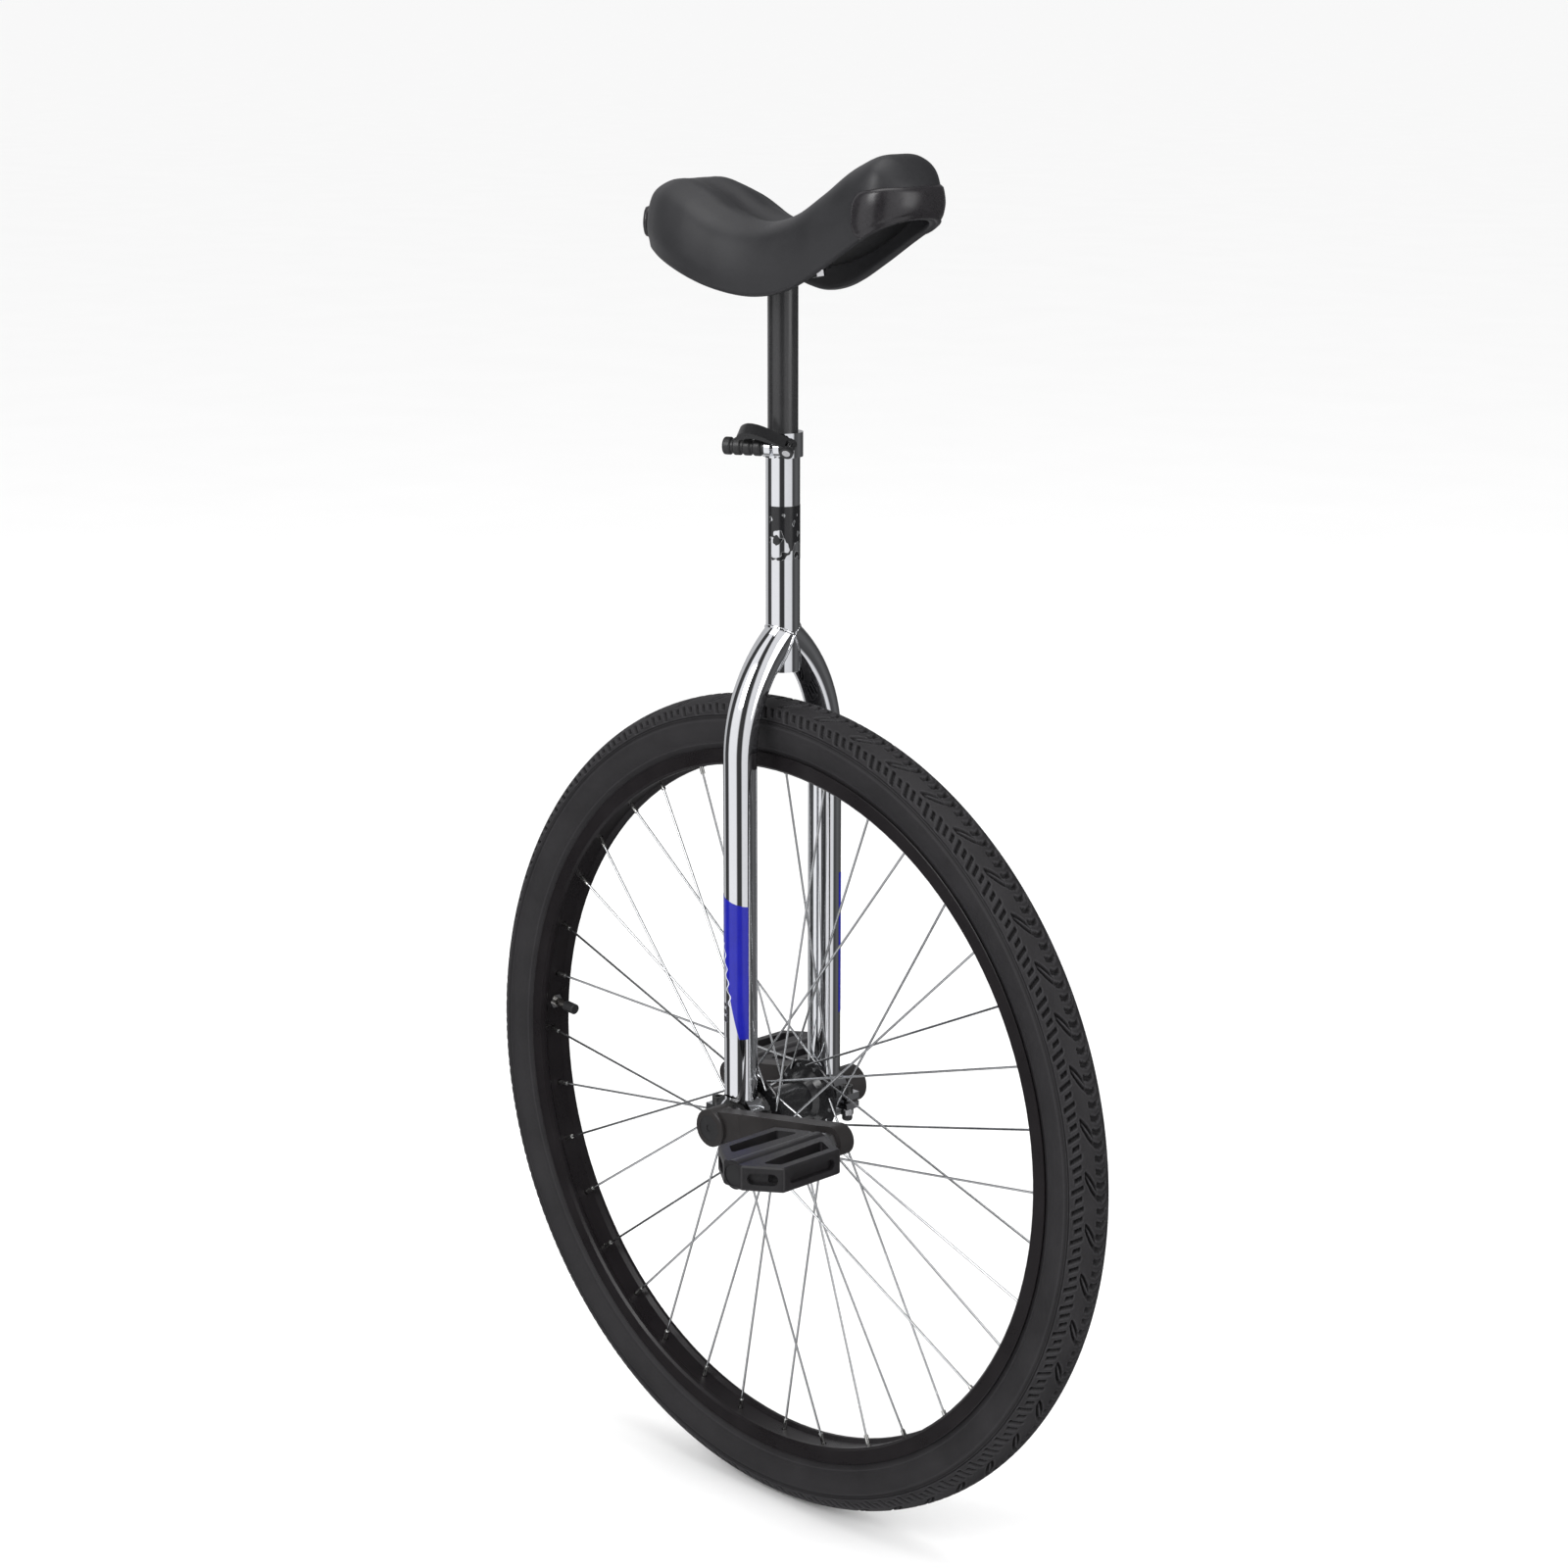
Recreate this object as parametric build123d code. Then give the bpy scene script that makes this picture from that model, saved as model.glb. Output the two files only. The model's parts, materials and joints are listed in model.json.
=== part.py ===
from build123d import *
import os
from math import asin, cos, degrees, radians, sin, sqrt, tan

# A 28-inch unicycle. Everything is modelled about the hub's centre, with the wheel's spin axis along Y.
# The rider's front is along +X, the rider's left along +Y and up along +Z. write() lifts each piece so
# that the tyre stands on z = 0.

# ---------------------------------------------------------------- driving dimensions, mm
TYRE_RADIUS = 361.0          # 50-622 tyre
TYRE_HALF_WIDTH = 22.6
SECTION_CENTRE_RADIUS = 338.4
TREAD_DEPTH = 6.0            # tread and casing together, at the crown
BEAD_SEAT_RADIUS = 310.4
RIM_FLANGE_RADIUS = 315.5
RIM_INNER_RADIUS = 301.5
RIM_BED_RADIUS = 304.5
RIM_WELL_RADIUS = 307.0
RIM_HALF_WIDTH = 17.0

SPOKE_COUNT = 36
SPOKE_RADIUS = 1.0
SPOKE_CROSSES = 3
SPOKE_RIM_OFFSET = 1.5       # rim holes stand this far each side of the rim's centre line
NIPPLE_RADIUS = 1.95
NIPPLE_LENGTH = 12.5
NIPPLE_HEAD_RADIUS = 3.0
VALVE_ANGLE = 175.0          # half way between two spokes, degrees from +X towards +Z

FLANGE_Y = 31.0
FLANGE_THICKNESS = 3.2
FLANGE_RADIUS = 33.2
FLANGE_HOLE_RADIUS = 29.0
SPOKE_HOLE_RADIUS = 1.3
HUB_BARREL_RADIUS = 16.5
HUB_SHOULDER_Y = 38.0
AXLE_RADIUS = 8.5
AXLE_JOURNAL_Y = 59.0
AXLE_END_Y = 81.0
TAPER_END_SIDE = 12.7        # square taper, across its flats at the end
TAPER_SLOPE = tan(radians(2))

BEARING_Y = 50.0             # 6203 ball bearings, 40 x 17 x 12
BEARING_WIDTH = 12.0
BEARING_RADIUS = 20.0
BALL_RADIUS = 3.37
BALL_CIRCLE_RADIUS = 14.25
BALL_COUNT = 8
GROOVE_CLEARANCE = 0.08

TUBE_RADIUS = 14.3           # 28.6 mm steel tube
TUBE_WALL = 1.5
LEG_Y = 50.0
LEG_FOOT_Z = 22.0
LEG_BEND_START_Z = 316.0
LEG_BEND_RADIUS = 127.0
LEG_BEND_ANGLE = 53.0
STEERER_BOTTOM_Z = 385.0
STEERER_TOP_Z = 583.6

LEG_DECAL_BOTTOM_Z = 75.0
LEG_DECAL_TOP_Z = 211.0
LEG_DECAL_SLANT = 30.0
LEG_DECAL_HALF_ANGLE = 73.0
STEERER_DECAL_BOTTOM_Z = 480.0
STEERER_DECAL_TOP_Z = 525.0
STEERER_DECAL_HALF_ANGLE = 95.0
FILM_GAP = 0.02
FILM_THICKNESS = 0.15

HOLDER_RADIUS = 24.0
HOLDER_WIDTH = 15.0
HOLDER_GAP = 1.2             # between the holder and its cap, each side of the axle's centre line
EAR_REACH = 36.0
EAR_THICKNESS = 6.0
CLAMP_BOLT_X = 29.0
CLAMP_BOLT_RADIUS = 3.0

CRANK_LENGTH = 150.0
CRANK_RISE = 10.2            # the right crank points forward and this far above the horizontal, degrees
CRANK_INNER_Y = 66.0
CRANK_OUTER_Y = 88.0
CRANK_BOSS_RADIUS = 16.5
CRANK_EYE_RADIUS = 13.0
CRANK_EYE_INNER_Y = 76.0
CRANK_EYE_OUTER_Y = 91.0
PEDAL_THREAD_RADIUS = 7.1

PEDAL_INNER_Y = 103.0
PEDAL_OUTER_Y = 200.5
PEDAL_HALF_LENGTH = 38.0     # fore and aft
PEDAL_END_HALF = 10.0        # half the flat at either end of the platform
PEDAL_OUTER_BEVEL = 20.0     # how far along the spindle the outer corners are cut back
PEDAL_INNER_BEVEL = 14.0
PEDAL_RAIL = 8.0
PEDAL_HALF_THICKNESS = 10.5
PEDAL_BARREL_RADIUS = 12.0
SPINDLE_INNER_RADIUS = 6.5
SPINDLE_OUTER_RADIUS = 5.0
SIDE_SLOT_LENGTH = 50.0
SIDE_SLOT_HEIGHT = 9.0
SIDE_SLOT_DEPTH = 5.0
CORNER_SLOT_LENGTH = 25.0
CORNER_SLOT_HEIGHT = 9.6
CORNER_SLOT_DEPTH = 4.6
BUSH_RADIUS = 9.0
BUSH_LENGTH = 12.0
RUNNING_CLEARANCE = 0.05

POST_RADIUS = 12.7           # 25.4 mm seat post
POST_WALL = 2.0
POST_BOTTOM_Z = 456.0
COLLAR_RADIUS = 16.8
COLLAR_BOTTOM_Z = 565.4
COLLAR_TOP_Z = 585.8
COLLAR_SKEW = 26.0           # the collar's ears point to the right, turned this far to the front, degrees
SLIT_WIDTH = 3.0
EAR_HALF_SPREAD = 6.5
SKEWER_REACH = 22.5          # from the steerer's axis to the skewer's
SKEWER_Z = 575.0
SKEWER_RADIUS = 2.5
KNOB_RADIUS = 7.4
KNOB_START = 6.7
KNOB_GAP = 1.5
KNOB_END = 43.2
LEVER_PIVOT = 12.5           # the lever's pin, along the skewer
LEVER_TILT = 55.0            # the lever's plane is turned up about the skewer, degrees
CAM_RADIUS = 5.8

SADDLE_ARC_CENTRE = (-8.0, 903.0)   # x and z of the saddle base's arc, seen from the side
SADDLE_ARC_RADIUS = 185.0
SADDLE_BASE_THICKNESS = 4.0
COVER_THICKNESS = 1.2
SKIRT_THICKNESS = 8.0
CAVITY_INSET = 6.0           # least depth of foam and cover over the hollow
BUMPER_THICKNESS = 2.6
BRACKET_THICKNESS = 3.0
SADDLE_BOLT_X = 30.0
SADDLE_BOLT_Y = 10.0

# The saddle's cross-sections from tail to nose: x, top z, skirt's bottom z, half width
SADDLE_SECTIONS = (
    (-132, 764, 744, 26),
    (-121, 782, 738, 42),
    (-100, 788, 729, 54),
    (-65, 781, 716, 61),
    (-28, 765, 705, 58),
    (10, 758, 701, 50),
    (45, 767, 708, 45),
    (80, 788, 726, 43),
    (110, 808, 744, 42),
    (138, 815, 760, 40),
    (157, 801, 770, 32),
)


# ---------------------------------------------------------------- helpers
def cylinder_y(radius, y_from, y_to, x=0.0, z=0.0):
    """A solid cylinder along Y between two values of y."""
    circle = Plane(origin=(x, y_from, z), x_dir=(1, 0, 0), z_dir=(0, 1, 0)) * Circle(radius)
    return extrude(circle, y_to - y_from)


def cylinder_z(radius, z_from, z_to, x=0.0, y=0.0):
    """A solid cylinder along Z between two values of z."""
    return extrude(Plane(origin=(x, y, z_from)) * Circle(radius), z_to - z_from)


def ring_y(outer, inner, y_from, y_to, x=0.0, z=0.0):
    """A plain ring about an axis along Y."""
    return cylinder_y(outer, y_from, y_to, x, z) - cylinder_y(inner, y_from - 1, y_to + 1, x, z)


def block(x_range, y_range, z_range):
    """A box between its limits on each axis."""
    sizes = [high - low for low, high in (x_range, y_range, z_range)]
    middle = [(high + low) / 2 for low, high in (x_range, y_range, z_range)]
    return Pos(*middle) * Box(*sizes)


def spin_y(shape, angle):
    """Turn a shape about the wheel's axis; a positive angle carries +X towards +Z."""
    return shape.rotate(Axis.Y, -angle)


def revolve_section(*outlines):
    """Revolve a closed outline, drawn with x as the radius and y along the axle."""
    return revolve(make_face(outlines), Axis.Y)


def hex_prism(across_flats, height):
    """A hexagonal prism that stands on z = 0."""
    return extrude(RegularPolygon(across_flats / sqrt(3), 6), height)


def write(name, *solids):
    """Lift the solids to their height above the ground and write them as one node."""
    lifted = [Pos(0, 0, TYRE_RADIUS) * solid for solid in solids]
    shape = lifted[0] if len(lifted) == 1 else Compound(children=lifted)
    export_step(shape, f"parts/{name}.step")


# ---------------------------------------------------------------- wheel: tyre, tube, rim
def make_tyre():
    """The tyre's section, drawn as one outline from bead to bead over the crown."""
    bead_y = TYRE_HALF_WIDTH - 7.7
    bead_inner_y = TYRE_HALF_WIDTH - 11.6
    bead_top = RIM_FLANGE_RADIUS + 0.7
    inner_side = (SECTION_CENTRE_RADIUS - 1.4, TYRE_HALF_WIDTH - 2.6)
    return revolve_section(
        Line((BEAD_SEAT_RADIUS, -bead_y), (bead_top, -bead_y)),
        TangentArc((SECTION_CENTRE_RADIUS, -TYRE_HALF_WIDTH), (bead_top, -bead_y), tangent=(-1, 0)),
        ThreePointArc((SECTION_CENTRE_RADIUS, -TYRE_HALF_WIDTH), (TYRE_RADIUS, 0),
                      (SECTION_CENTRE_RADIUS, TYRE_HALF_WIDTH)),
        TangentArc((SECTION_CENTRE_RADIUS, TYRE_HALF_WIDTH), (bead_top, bead_y), tangent=(-1, 0)),
        Line((bead_top, bead_y), (BEAD_SEAT_RADIUS, bead_y)),
        Line((BEAD_SEAT_RADIUS, bead_y), (BEAD_SEAT_RADIUS, bead_inner_y)),
        TangentArc(inner_side, (BEAD_SEAT_RADIUS, bead_inner_y), tangent=(-1, 0)),
        ThreePointArc(inner_side, (TYRE_RADIUS - TREAD_DEPTH, 0), (inner_side[0], -inner_side[1])),
        TangentArc((inner_side[0], -inner_side[1]), (BEAD_SEAT_RADIUS, -bead_inner_y), tangent=(-1, 0)),
        Line((BEAD_SEAT_RADIUS, -bead_inner_y), (BEAD_SEAT_RADIUS, -bead_y)),
    )


def make_inner_tube():
    centre = (SECTION_CENTRE_RADIUS - 3.5, 0)
    section = Pos(*centre) * (Circle(19.4) - Circle(18.4))
    return revolve(section, Axis.Y)


def make_rim():
    half = Polyline(
        (RIM_WELL_RADIUS, 0), (RIM_WELL_RADIUS, 8.0), (BEAD_SEAT_RADIUS - 0.2, 10.6),
        (BEAD_SEAT_RADIUS - 0.2, 15.2), (RIM_FLANGE_RADIUS - 2.2, 15.2), (RIM_FLANGE_RADIUS, 15.4),
        (RIM_FLANGE_RADIUS, 16.6), (RIM_FLANGE_RADIUS - 0.6, RIM_HALF_WIDTH),
        (RIM_INNER_RADIUS + 2.0, RIM_HALF_WIDTH), (RIM_INNER_RADIUS, RIM_HALF_WIDTH - 2.0),
        (RIM_INNER_RADIUS, 12.0), (RIM_BED_RADIUS, 8.5), (RIM_BED_RADIUS, 0), close=True,
    )
    solid = revolve_section(half)
    rim = solid + mirror(solid, Plane.XZ)
    hole = Plane.YZ * Circle(NIPPLE_RADIUS + 0.5)
    for index in range(SPOKE_COUNT):
        side = 1 if index % 2 else -1
        cutter = Pos(RIM_BED_RADIUS - 2, side * SPOKE_RIM_OFFSET, 0) * extrude(hole, 8)
        rim -= spin_y(cutter, index * 360 / SPOKE_COUNT)
    valve_hole = Pos(RIM_BED_RADIUS - 2, 0, 0) * extrude(Plane.YZ * Circle(4.3), 8)
    return rim - spin_y(valve_hole, VALVE_ANGLE)


def make_rim_strip():
    section = Pos(RIM_WELL_RADIUS + 2.6, 0) * Rectangle(0.8, 17.0)
    strip = revolve(section, Axis.Y)
    valve_hole = Pos(RIM_WELL_RADIUS, 0, 0) * extrude(Plane.YZ * Circle(4.3), 6)
    return strip - spin_y(valve_hole, VALVE_ANGLE)


def along_radius(shape):
    """Carry a shape drawn along +X, with x as the radius, to the valve's angle."""
    return spin_y(shape, VALVE_ANGLE)


def rod_x(radius, x_from, x_to):
    return Pos(x_from, 0, 0) * extrude(Plane.YZ * Circle(radius), x_to - x_from)


def make_valve():
    tube_base = SECTION_CENTRE_RADIUS - 3.5 - 19.4
    stem = rod_x(3.9, 286, tube_base) - rod_x(1.9, 285, 312)
    foot = rod_x(8.0, tube_base - 2.4, tube_base - 0.1)
    thread_end = rod_x(3.6, 282, 286) - rod_x(1.9, 281, 287)
    stem = stem + foot + thread_end
    nut_plane = Plane(origin=(RIM_BED_RADIUS - 3.0, 0, 0), x_dir=(0, 1, 0), z_dir=(1, 0, 0))
    nut = nut_plane * hex_prism(12.0, 2.9) - rod_x(3.95, 295, 310)
    cap = rod_x(4.9, 275, 287.5) - rod_x(4.0, 279, 290)
    return along_radius(stem), along_radius(nut), along_radius(fillet(cap.edges().group_by(Axis.X)[0], 1.0))


# ---------------------------------------------------------------- wheel: spokes and nipples
def wheel_point(radius, angle, y):
    return Vector(radius * cos(radians(angle)), y, radius * sin(radians(angle)))


def make_spoke_and_nipple(side, leading):
    """The spoke that meets the rim at angle zero; its hub end is ahead or behind by the crossing angle."""
    sweep = SPOKE_CROSSES * 720 / SPOKE_COUNT
    hub_angle = -sweep if leading else sweep
    outside = 1 if leading else -1
    lift = 1.15 if leading else 0.15
    face_gap = FLANGE_THICKNESS / 2 + SPOKE_RADIUS + lift
    elbow_y = side * (FLANGE_Y + outside * face_gap)
    head_y = side * (FLANGE_Y - outside * (FLANGE_THICKNESS / 2 + 0.1))
    elbow = wheel_point(FLANGE_HOLE_RADIUS, hub_angle, elbow_y)
    rim_end = wheel_point(RIM_WELL_RADIUS + 0.5, 0, side * SPOKE_RIM_OFFSET)
    direction = (rim_end - elbow).normalized()
    shaft_plane = Plane(origin=elbow, z_dir=direction)
    shaft = extrude(shaft_plane * Circle(SPOKE_RADIUS), (rim_end - elbow).length)
    low, high = sorted((elbow_y, head_y))
    shank = cylinder_y(SPOKE_RADIUS, low, high, elbow.X, elbow.Z)
    head_low, head_high = sorted((head_y, head_y - side * outside * 1.2))
    head = cylinder_y(1.8, head_low, head_high, elbow.X, elbow.Z)
    spoke = shaft + shank + head + Pos(*elbow) * Sphere(SPOKE_RADIUS)

    nipple_end = RIM_WELL_RADIUS + 0.45
    head_centre = elbow + direction * ((nipple_end - elbow.X) / direction.X)
    nipple_plane = Plane(origin=head_centre, z_dir=direction)
    body = extrude(nipple_plane * Circle(NIPPLE_RADIUS), -NIPPLE_LENGTH)
    cap = extrude(nipple_plane * Circle(NIPPLE_HEAD_RADIUS), 1.3)
    bore = extrude(nipple_plane.offset(-NIPPLE_LENGTH - 1) * Circle(SPOKE_RADIUS + 0.03), NIPPLE_LENGTH + 2)
    return spoke, body + cap - bore


def make_spokes():
    """Every other spoke on a side leads, and its neighbours trail."""
    step = 360 / SPOKE_COUNT
    spokes = {-1: [], 1: []}
    nipples = []
    for side, first in ((-1, 0), (1, 1)):
        for leading, start in ((True, first), (False, first + 2)):
            spoke, nipple = make_spoke_and_nipple(side, leading)
            for index in range(start, SPOKE_COUNT, 4):
                spokes[side].append(spin_y(spoke, index * step))
                nipples.append(spin_y(nipple, index * step))
    return spokes[-1], spokes[1], nipples


# ---------------------------------------------------------------- wheel: hub, axle, bearings
def make_hub_shell():
    half = Polyline(
        (AXLE_RADIUS, 0), (HUB_BARREL_RADIUS, 0), (HUB_BARREL_RADIUS, 20.0), (20.0, 25.0),
        (24.5, FLANGE_Y - FLANGE_THICKNESS / 2), (FLANGE_RADIUS - 0.8, FLANGE_Y - FLANGE_THICKNESS / 2),
        (FLANGE_RADIUS, FLANGE_Y - 0.8), (FLANGE_RADIUS, FLANGE_Y + 0.8),
        (FLANGE_RADIUS - 0.8, FLANGE_Y + FLANGE_THICKNESS / 2), (20.0, FLANGE_Y + FLANGE_THICKNESS / 2),
        (18.0, HUB_SHOULDER_Y - 1.0), (17.0, HUB_SHOULDER_Y), (AXLE_RADIUS, HUB_SHOULDER_Y), close=True,
    )
    solid = revolve_section(half)
    shell = solid + mirror(solid, Plane.XZ)
    per_side = SPOKE_COUNT // 2
    for side, first in ((-1, 0.0), (1, 180.0 / per_side)):
        for index in range(per_side):
            centre = wheel_point(FLANGE_HOLE_RADIUS, first + index * 360 / per_side, 0)
            low, high = sorted((side * (FLANGE_Y - 3), side * (FLANGE_Y + 3)))
            shell -= cylinder_y(SPOKE_HOLE_RADIUS, low, high, centre.X, centre.Z)
    return shell


def taper_side(y):
    """Width across the flats of the axle's square end at a distance along the axle."""
    return TAPER_END_SIDE + 2 * TAPER_SLOPE * (AXLE_END_Y - y)


def square_taper(y_from, y_to, extra=0.0):
    """The square end of the axle, pointing along +Y, turned to line up with the cranks."""
    sections = []
    for y in (y_from, y_to):
        side = taper_side(y) + extra
        plane = Plane(origin=(0, y, 0), x_dir=(1, 0, 0), z_dir=(0, 1, 0))
        sections.append(plane * Rectangle(side, side))
    return loft(sections) & cylinder_y(AXLE_RADIUS + extra / 2, y_from, y_to)


def make_axle():
    end = square_taper(AXLE_JOURNAL_Y - 1, AXLE_END_Y) - cylinder_y(3.9, AXLE_END_Y - 24, AXLE_END_Y + 1)
    ends = spin_y(end, CRANK_RISE) + spin_y(mirror(end, Plane.XZ), CRANK_RISE)
    journal = cylinder_y(AXLE_RADIUS, -AXLE_JOURNAL_Y, AXLE_JOURNAL_Y)
    axle = journal + ends
    for side in (-1, 1):
        low, high = sorted((side * (AXLE_END_Y - 24), side * (AXLE_END_Y + 1)))
        axle -= cylinder_y(3.9, low, high)
    return axle


def make_axle_spacers():
    """Sleeves each side of the bearings' inner rings."""
    spacers = []
    inboard = (HUB_SHOULDER_Y, BEARING_Y - BEARING_WIDTH / 2)
    outboard = (BEARING_Y + BEARING_WIDTH / 2, AXLE_JOURNAL_Y - 0.5)
    for low, high in (inboard, outboard):
        spacers.append(ring_y(11.2, AXLE_RADIUS, low, high))
        spacers.append(ring_y(11.2, AXLE_RADIUS, -high, -low))
    return spacers


def make_bearing(side):
    """Outer ring, inner ring, cage, balls and shields of one ball bearing."""
    low = side * BEARING_Y - BEARING_WIDTH / 2
    high = side * BEARING_Y + BEARING_WIDTH / 2
    middle = side * BEARING_Y
    groove = revolve(Pos(BALL_CIRCLE_RADIUS, middle) * Circle(BALL_RADIUS + GROOVE_CLEARANCE), Axis.Y)
    outer_ring = ring_y(BEARING_RADIUS, 16.6, low, high) - groove
    inner_ring = ring_y(11.9, AXLE_RADIUS, low, high) - groove
    cage = ring_y(15.2, 13.2, middle - 4.4, middle + 4.4)
    balls = []
    for index in range(BALL_COUNT):
        centre = wheel_point(BALL_CIRCLE_RADIUS, index * 360 / BALL_COUNT, middle)
        balls.append(Pos(*centre) * Sphere(BALL_RADIUS))
        pocket = Plane(origin=(0, middle, 0), z_dir=(centre.X, 0, centre.Z)) * Circle(BALL_RADIUS + 0.15)
        cage -= extrude(pocket, 20)
    shields = [ring_y(16.6, 12.05, low + 0.1, low + 0.9), ring_y(16.6, 12.05, high - 0.9, high - 0.1)]
    return outer_ring, inner_ring, cage, balls, shields


# ---------------------------------------------------------------- cranks and pedals
def make_crank(side):
    """The crank along +X on one side, before it is turned to its angle."""
    boss_circle = Circle(CRANK_BOSS_RADIUS - 2.5)
    eye_circle = Pos(CRANK_LENGTH, 0) * Circle(CRANK_EYE_RADIUS)
    outline = make_hull(boss_circle.edges() + eye_circle.edges())
    flat = Plane(origin=(0, CRANK_INNER_Y - 2, 0), x_dir=(1, 0, 0), z_dir=(0, 1, 0)) * outline
    bar = extrude(flat, 40)
    profile = make_face(Polyline(
        (-20, CRANK_INNER_Y + 4), (18, CRANK_INNER_Y + 4), (40, CRANK_INNER_Y + 5),
        (CRANK_LENGTH - 20, CRANK_EYE_INNER_Y), (CRANK_LENGTH + 20, CRANK_EYE_INNER_Y),
        (CRANK_LENGTH + 20, CRANK_EYE_OUTER_Y), (CRANK_LENGTH - 14, CRANK_EYE_OUTER_Y),
        (34, CRANK_OUTER_Y - 4), (-20, CRANK_OUTER_Y - 4), close=True))
    bar = bar & Pos(0, 0, -30) * extrude(profile, 60)
    boss = cylinder_y(CRANK_BOSS_RADIUS, CRANK_INNER_Y, CRANK_OUTER_Y)
    boss = chamfer(boss.edges().filter_by(GeomType.CIRCLE), 1.0)
    crank = bar + boss
    crank -= square_taper(AXLE_JOURNAL_Y, AXLE_END_Y + 0.6, 0.04)
    crank -= cylinder_y(11.0, AXLE_END_Y + 0.5, CRANK_OUTER_Y + 1)
    crank -= cylinder_y(PEDAL_THREAD_RADIUS, 60, 100, CRANK_LENGTH)
    return crank if side > 0 else mirror(crank, Plane.XZ)


def turn_crank(shape, side):
    """The right crank points forward and up, and the left one points the opposite way."""
    return spin_y(shape, CRANK_RISE if side < 0 else CRANK_RISE + 180)


def pedal_centre(side):
    angle = CRANK_RISE if side < 0 else CRANK_RISE + 180
    return wheel_point(CRANK_LENGTH, angle, 0)


def make_crank_bolt(side):
    bolt = cylinder_y(3.85, AXLE_END_Y - 20, AXLE_END_Y + 1.2)
    bolt += cylinder_y(9.0, AXLE_END_Y + 0.6, AXLE_END_Y + 2.4)
    head_plane = Plane(origin=(0, AXLE_END_Y + 2.4, 0), x_dir=(1, 0, 0), z_dir=(0, 1, 0))
    bolt += head_plane * hex_prism(13.0, 2.6)
    return bolt if side > 0 else mirror(bolt, Plane.XZ)


def make_dust_cap(side):
    cap = cylinder_y(11.0, AXLE_END_Y + 5.2, CRANK_OUTER_Y - 0.3)
    key_plane = Plane(origin=(0, CRANK_OUTER_Y - 0.8, 0), x_dir=(1, 0, 0), z_dir=(0, 1, 0))
    cap -= key_plane * hex_prism(6.0, 2.0)
    return cap if side > 0 else mirror(cap, Plane.XZ)


def make_pedal_spindle(side):
    thread = cylinder_y(PEDAL_THREAD_RADIUS, CRANK_EYE_INNER_Y + 0.5, CRANK_EYE_OUTER_Y)
    flats_plane = Plane(origin=(0, CRANK_EYE_OUTER_Y, 0), x_dir=(1, 0, 0), z_dir=(0, 1, 0))
    flats = flats_plane * hex_prism(15.0, 6.0)
    collar = cylinder_y(9.5, CRANK_EYE_OUTER_Y + 6, CRANK_EYE_OUTER_Y + 9)
    inner = cylinder_y(SPINDLE_INNER_RADIUS, CRANK_EYE_OUTER_Y + 9, PEDAL_INNER_Y + 30)
    outer = cylinder_y(SPINDLE_OUTER_RADIUS, PEDAL_INNER_Y + 30, PEDAL_OUTER_Y - 4)
    spindle = thread + flats + collar + inner + outer
    return spindle if side > 0 else mirror(spindle, Plane.XZ)


def make_pedal_locknut(side):
    nut_plane = Plane(origin=(0, PEDAL_OUTER_Y - 9, 0), x_dir=(1, 0, 0), z_dir=(0, 1, 0))
    nut = nut_plane * hex_prism(13.0, 4.6) - cylinder_y(SPINDLE_OUTER_RADIUS, 0, 300)
    return nut if side > 0 else mirror(nut, Plane.XZ)


def pedal_window():
    """The opening through the platform between its barrel and its front rail."""
    inner, outer = PEDAL_INNER_Y, PEDAL_OUTER_Y
    barrel_edge = PEDAL_BARREL_RADIUS + 1.5
    rail_edge = PEDAL_HALF_LENGTH - PEDAL_RAIL
    outline = make_face(Polyline((barrel_edge, inner + 11), (rail_edge, inner + 19), (rail_edge, outer - 25),
                                 (barrel_edge + 4, outer - 16), close=True))
    outline = fillet(outline.vertices(), 2.0)
    return Pos(0, 0, -2 * PEDAL_HALF_THICKNESS) * extrude(outline, 4 * PEDAL_HALF_THICKNESS)


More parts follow.
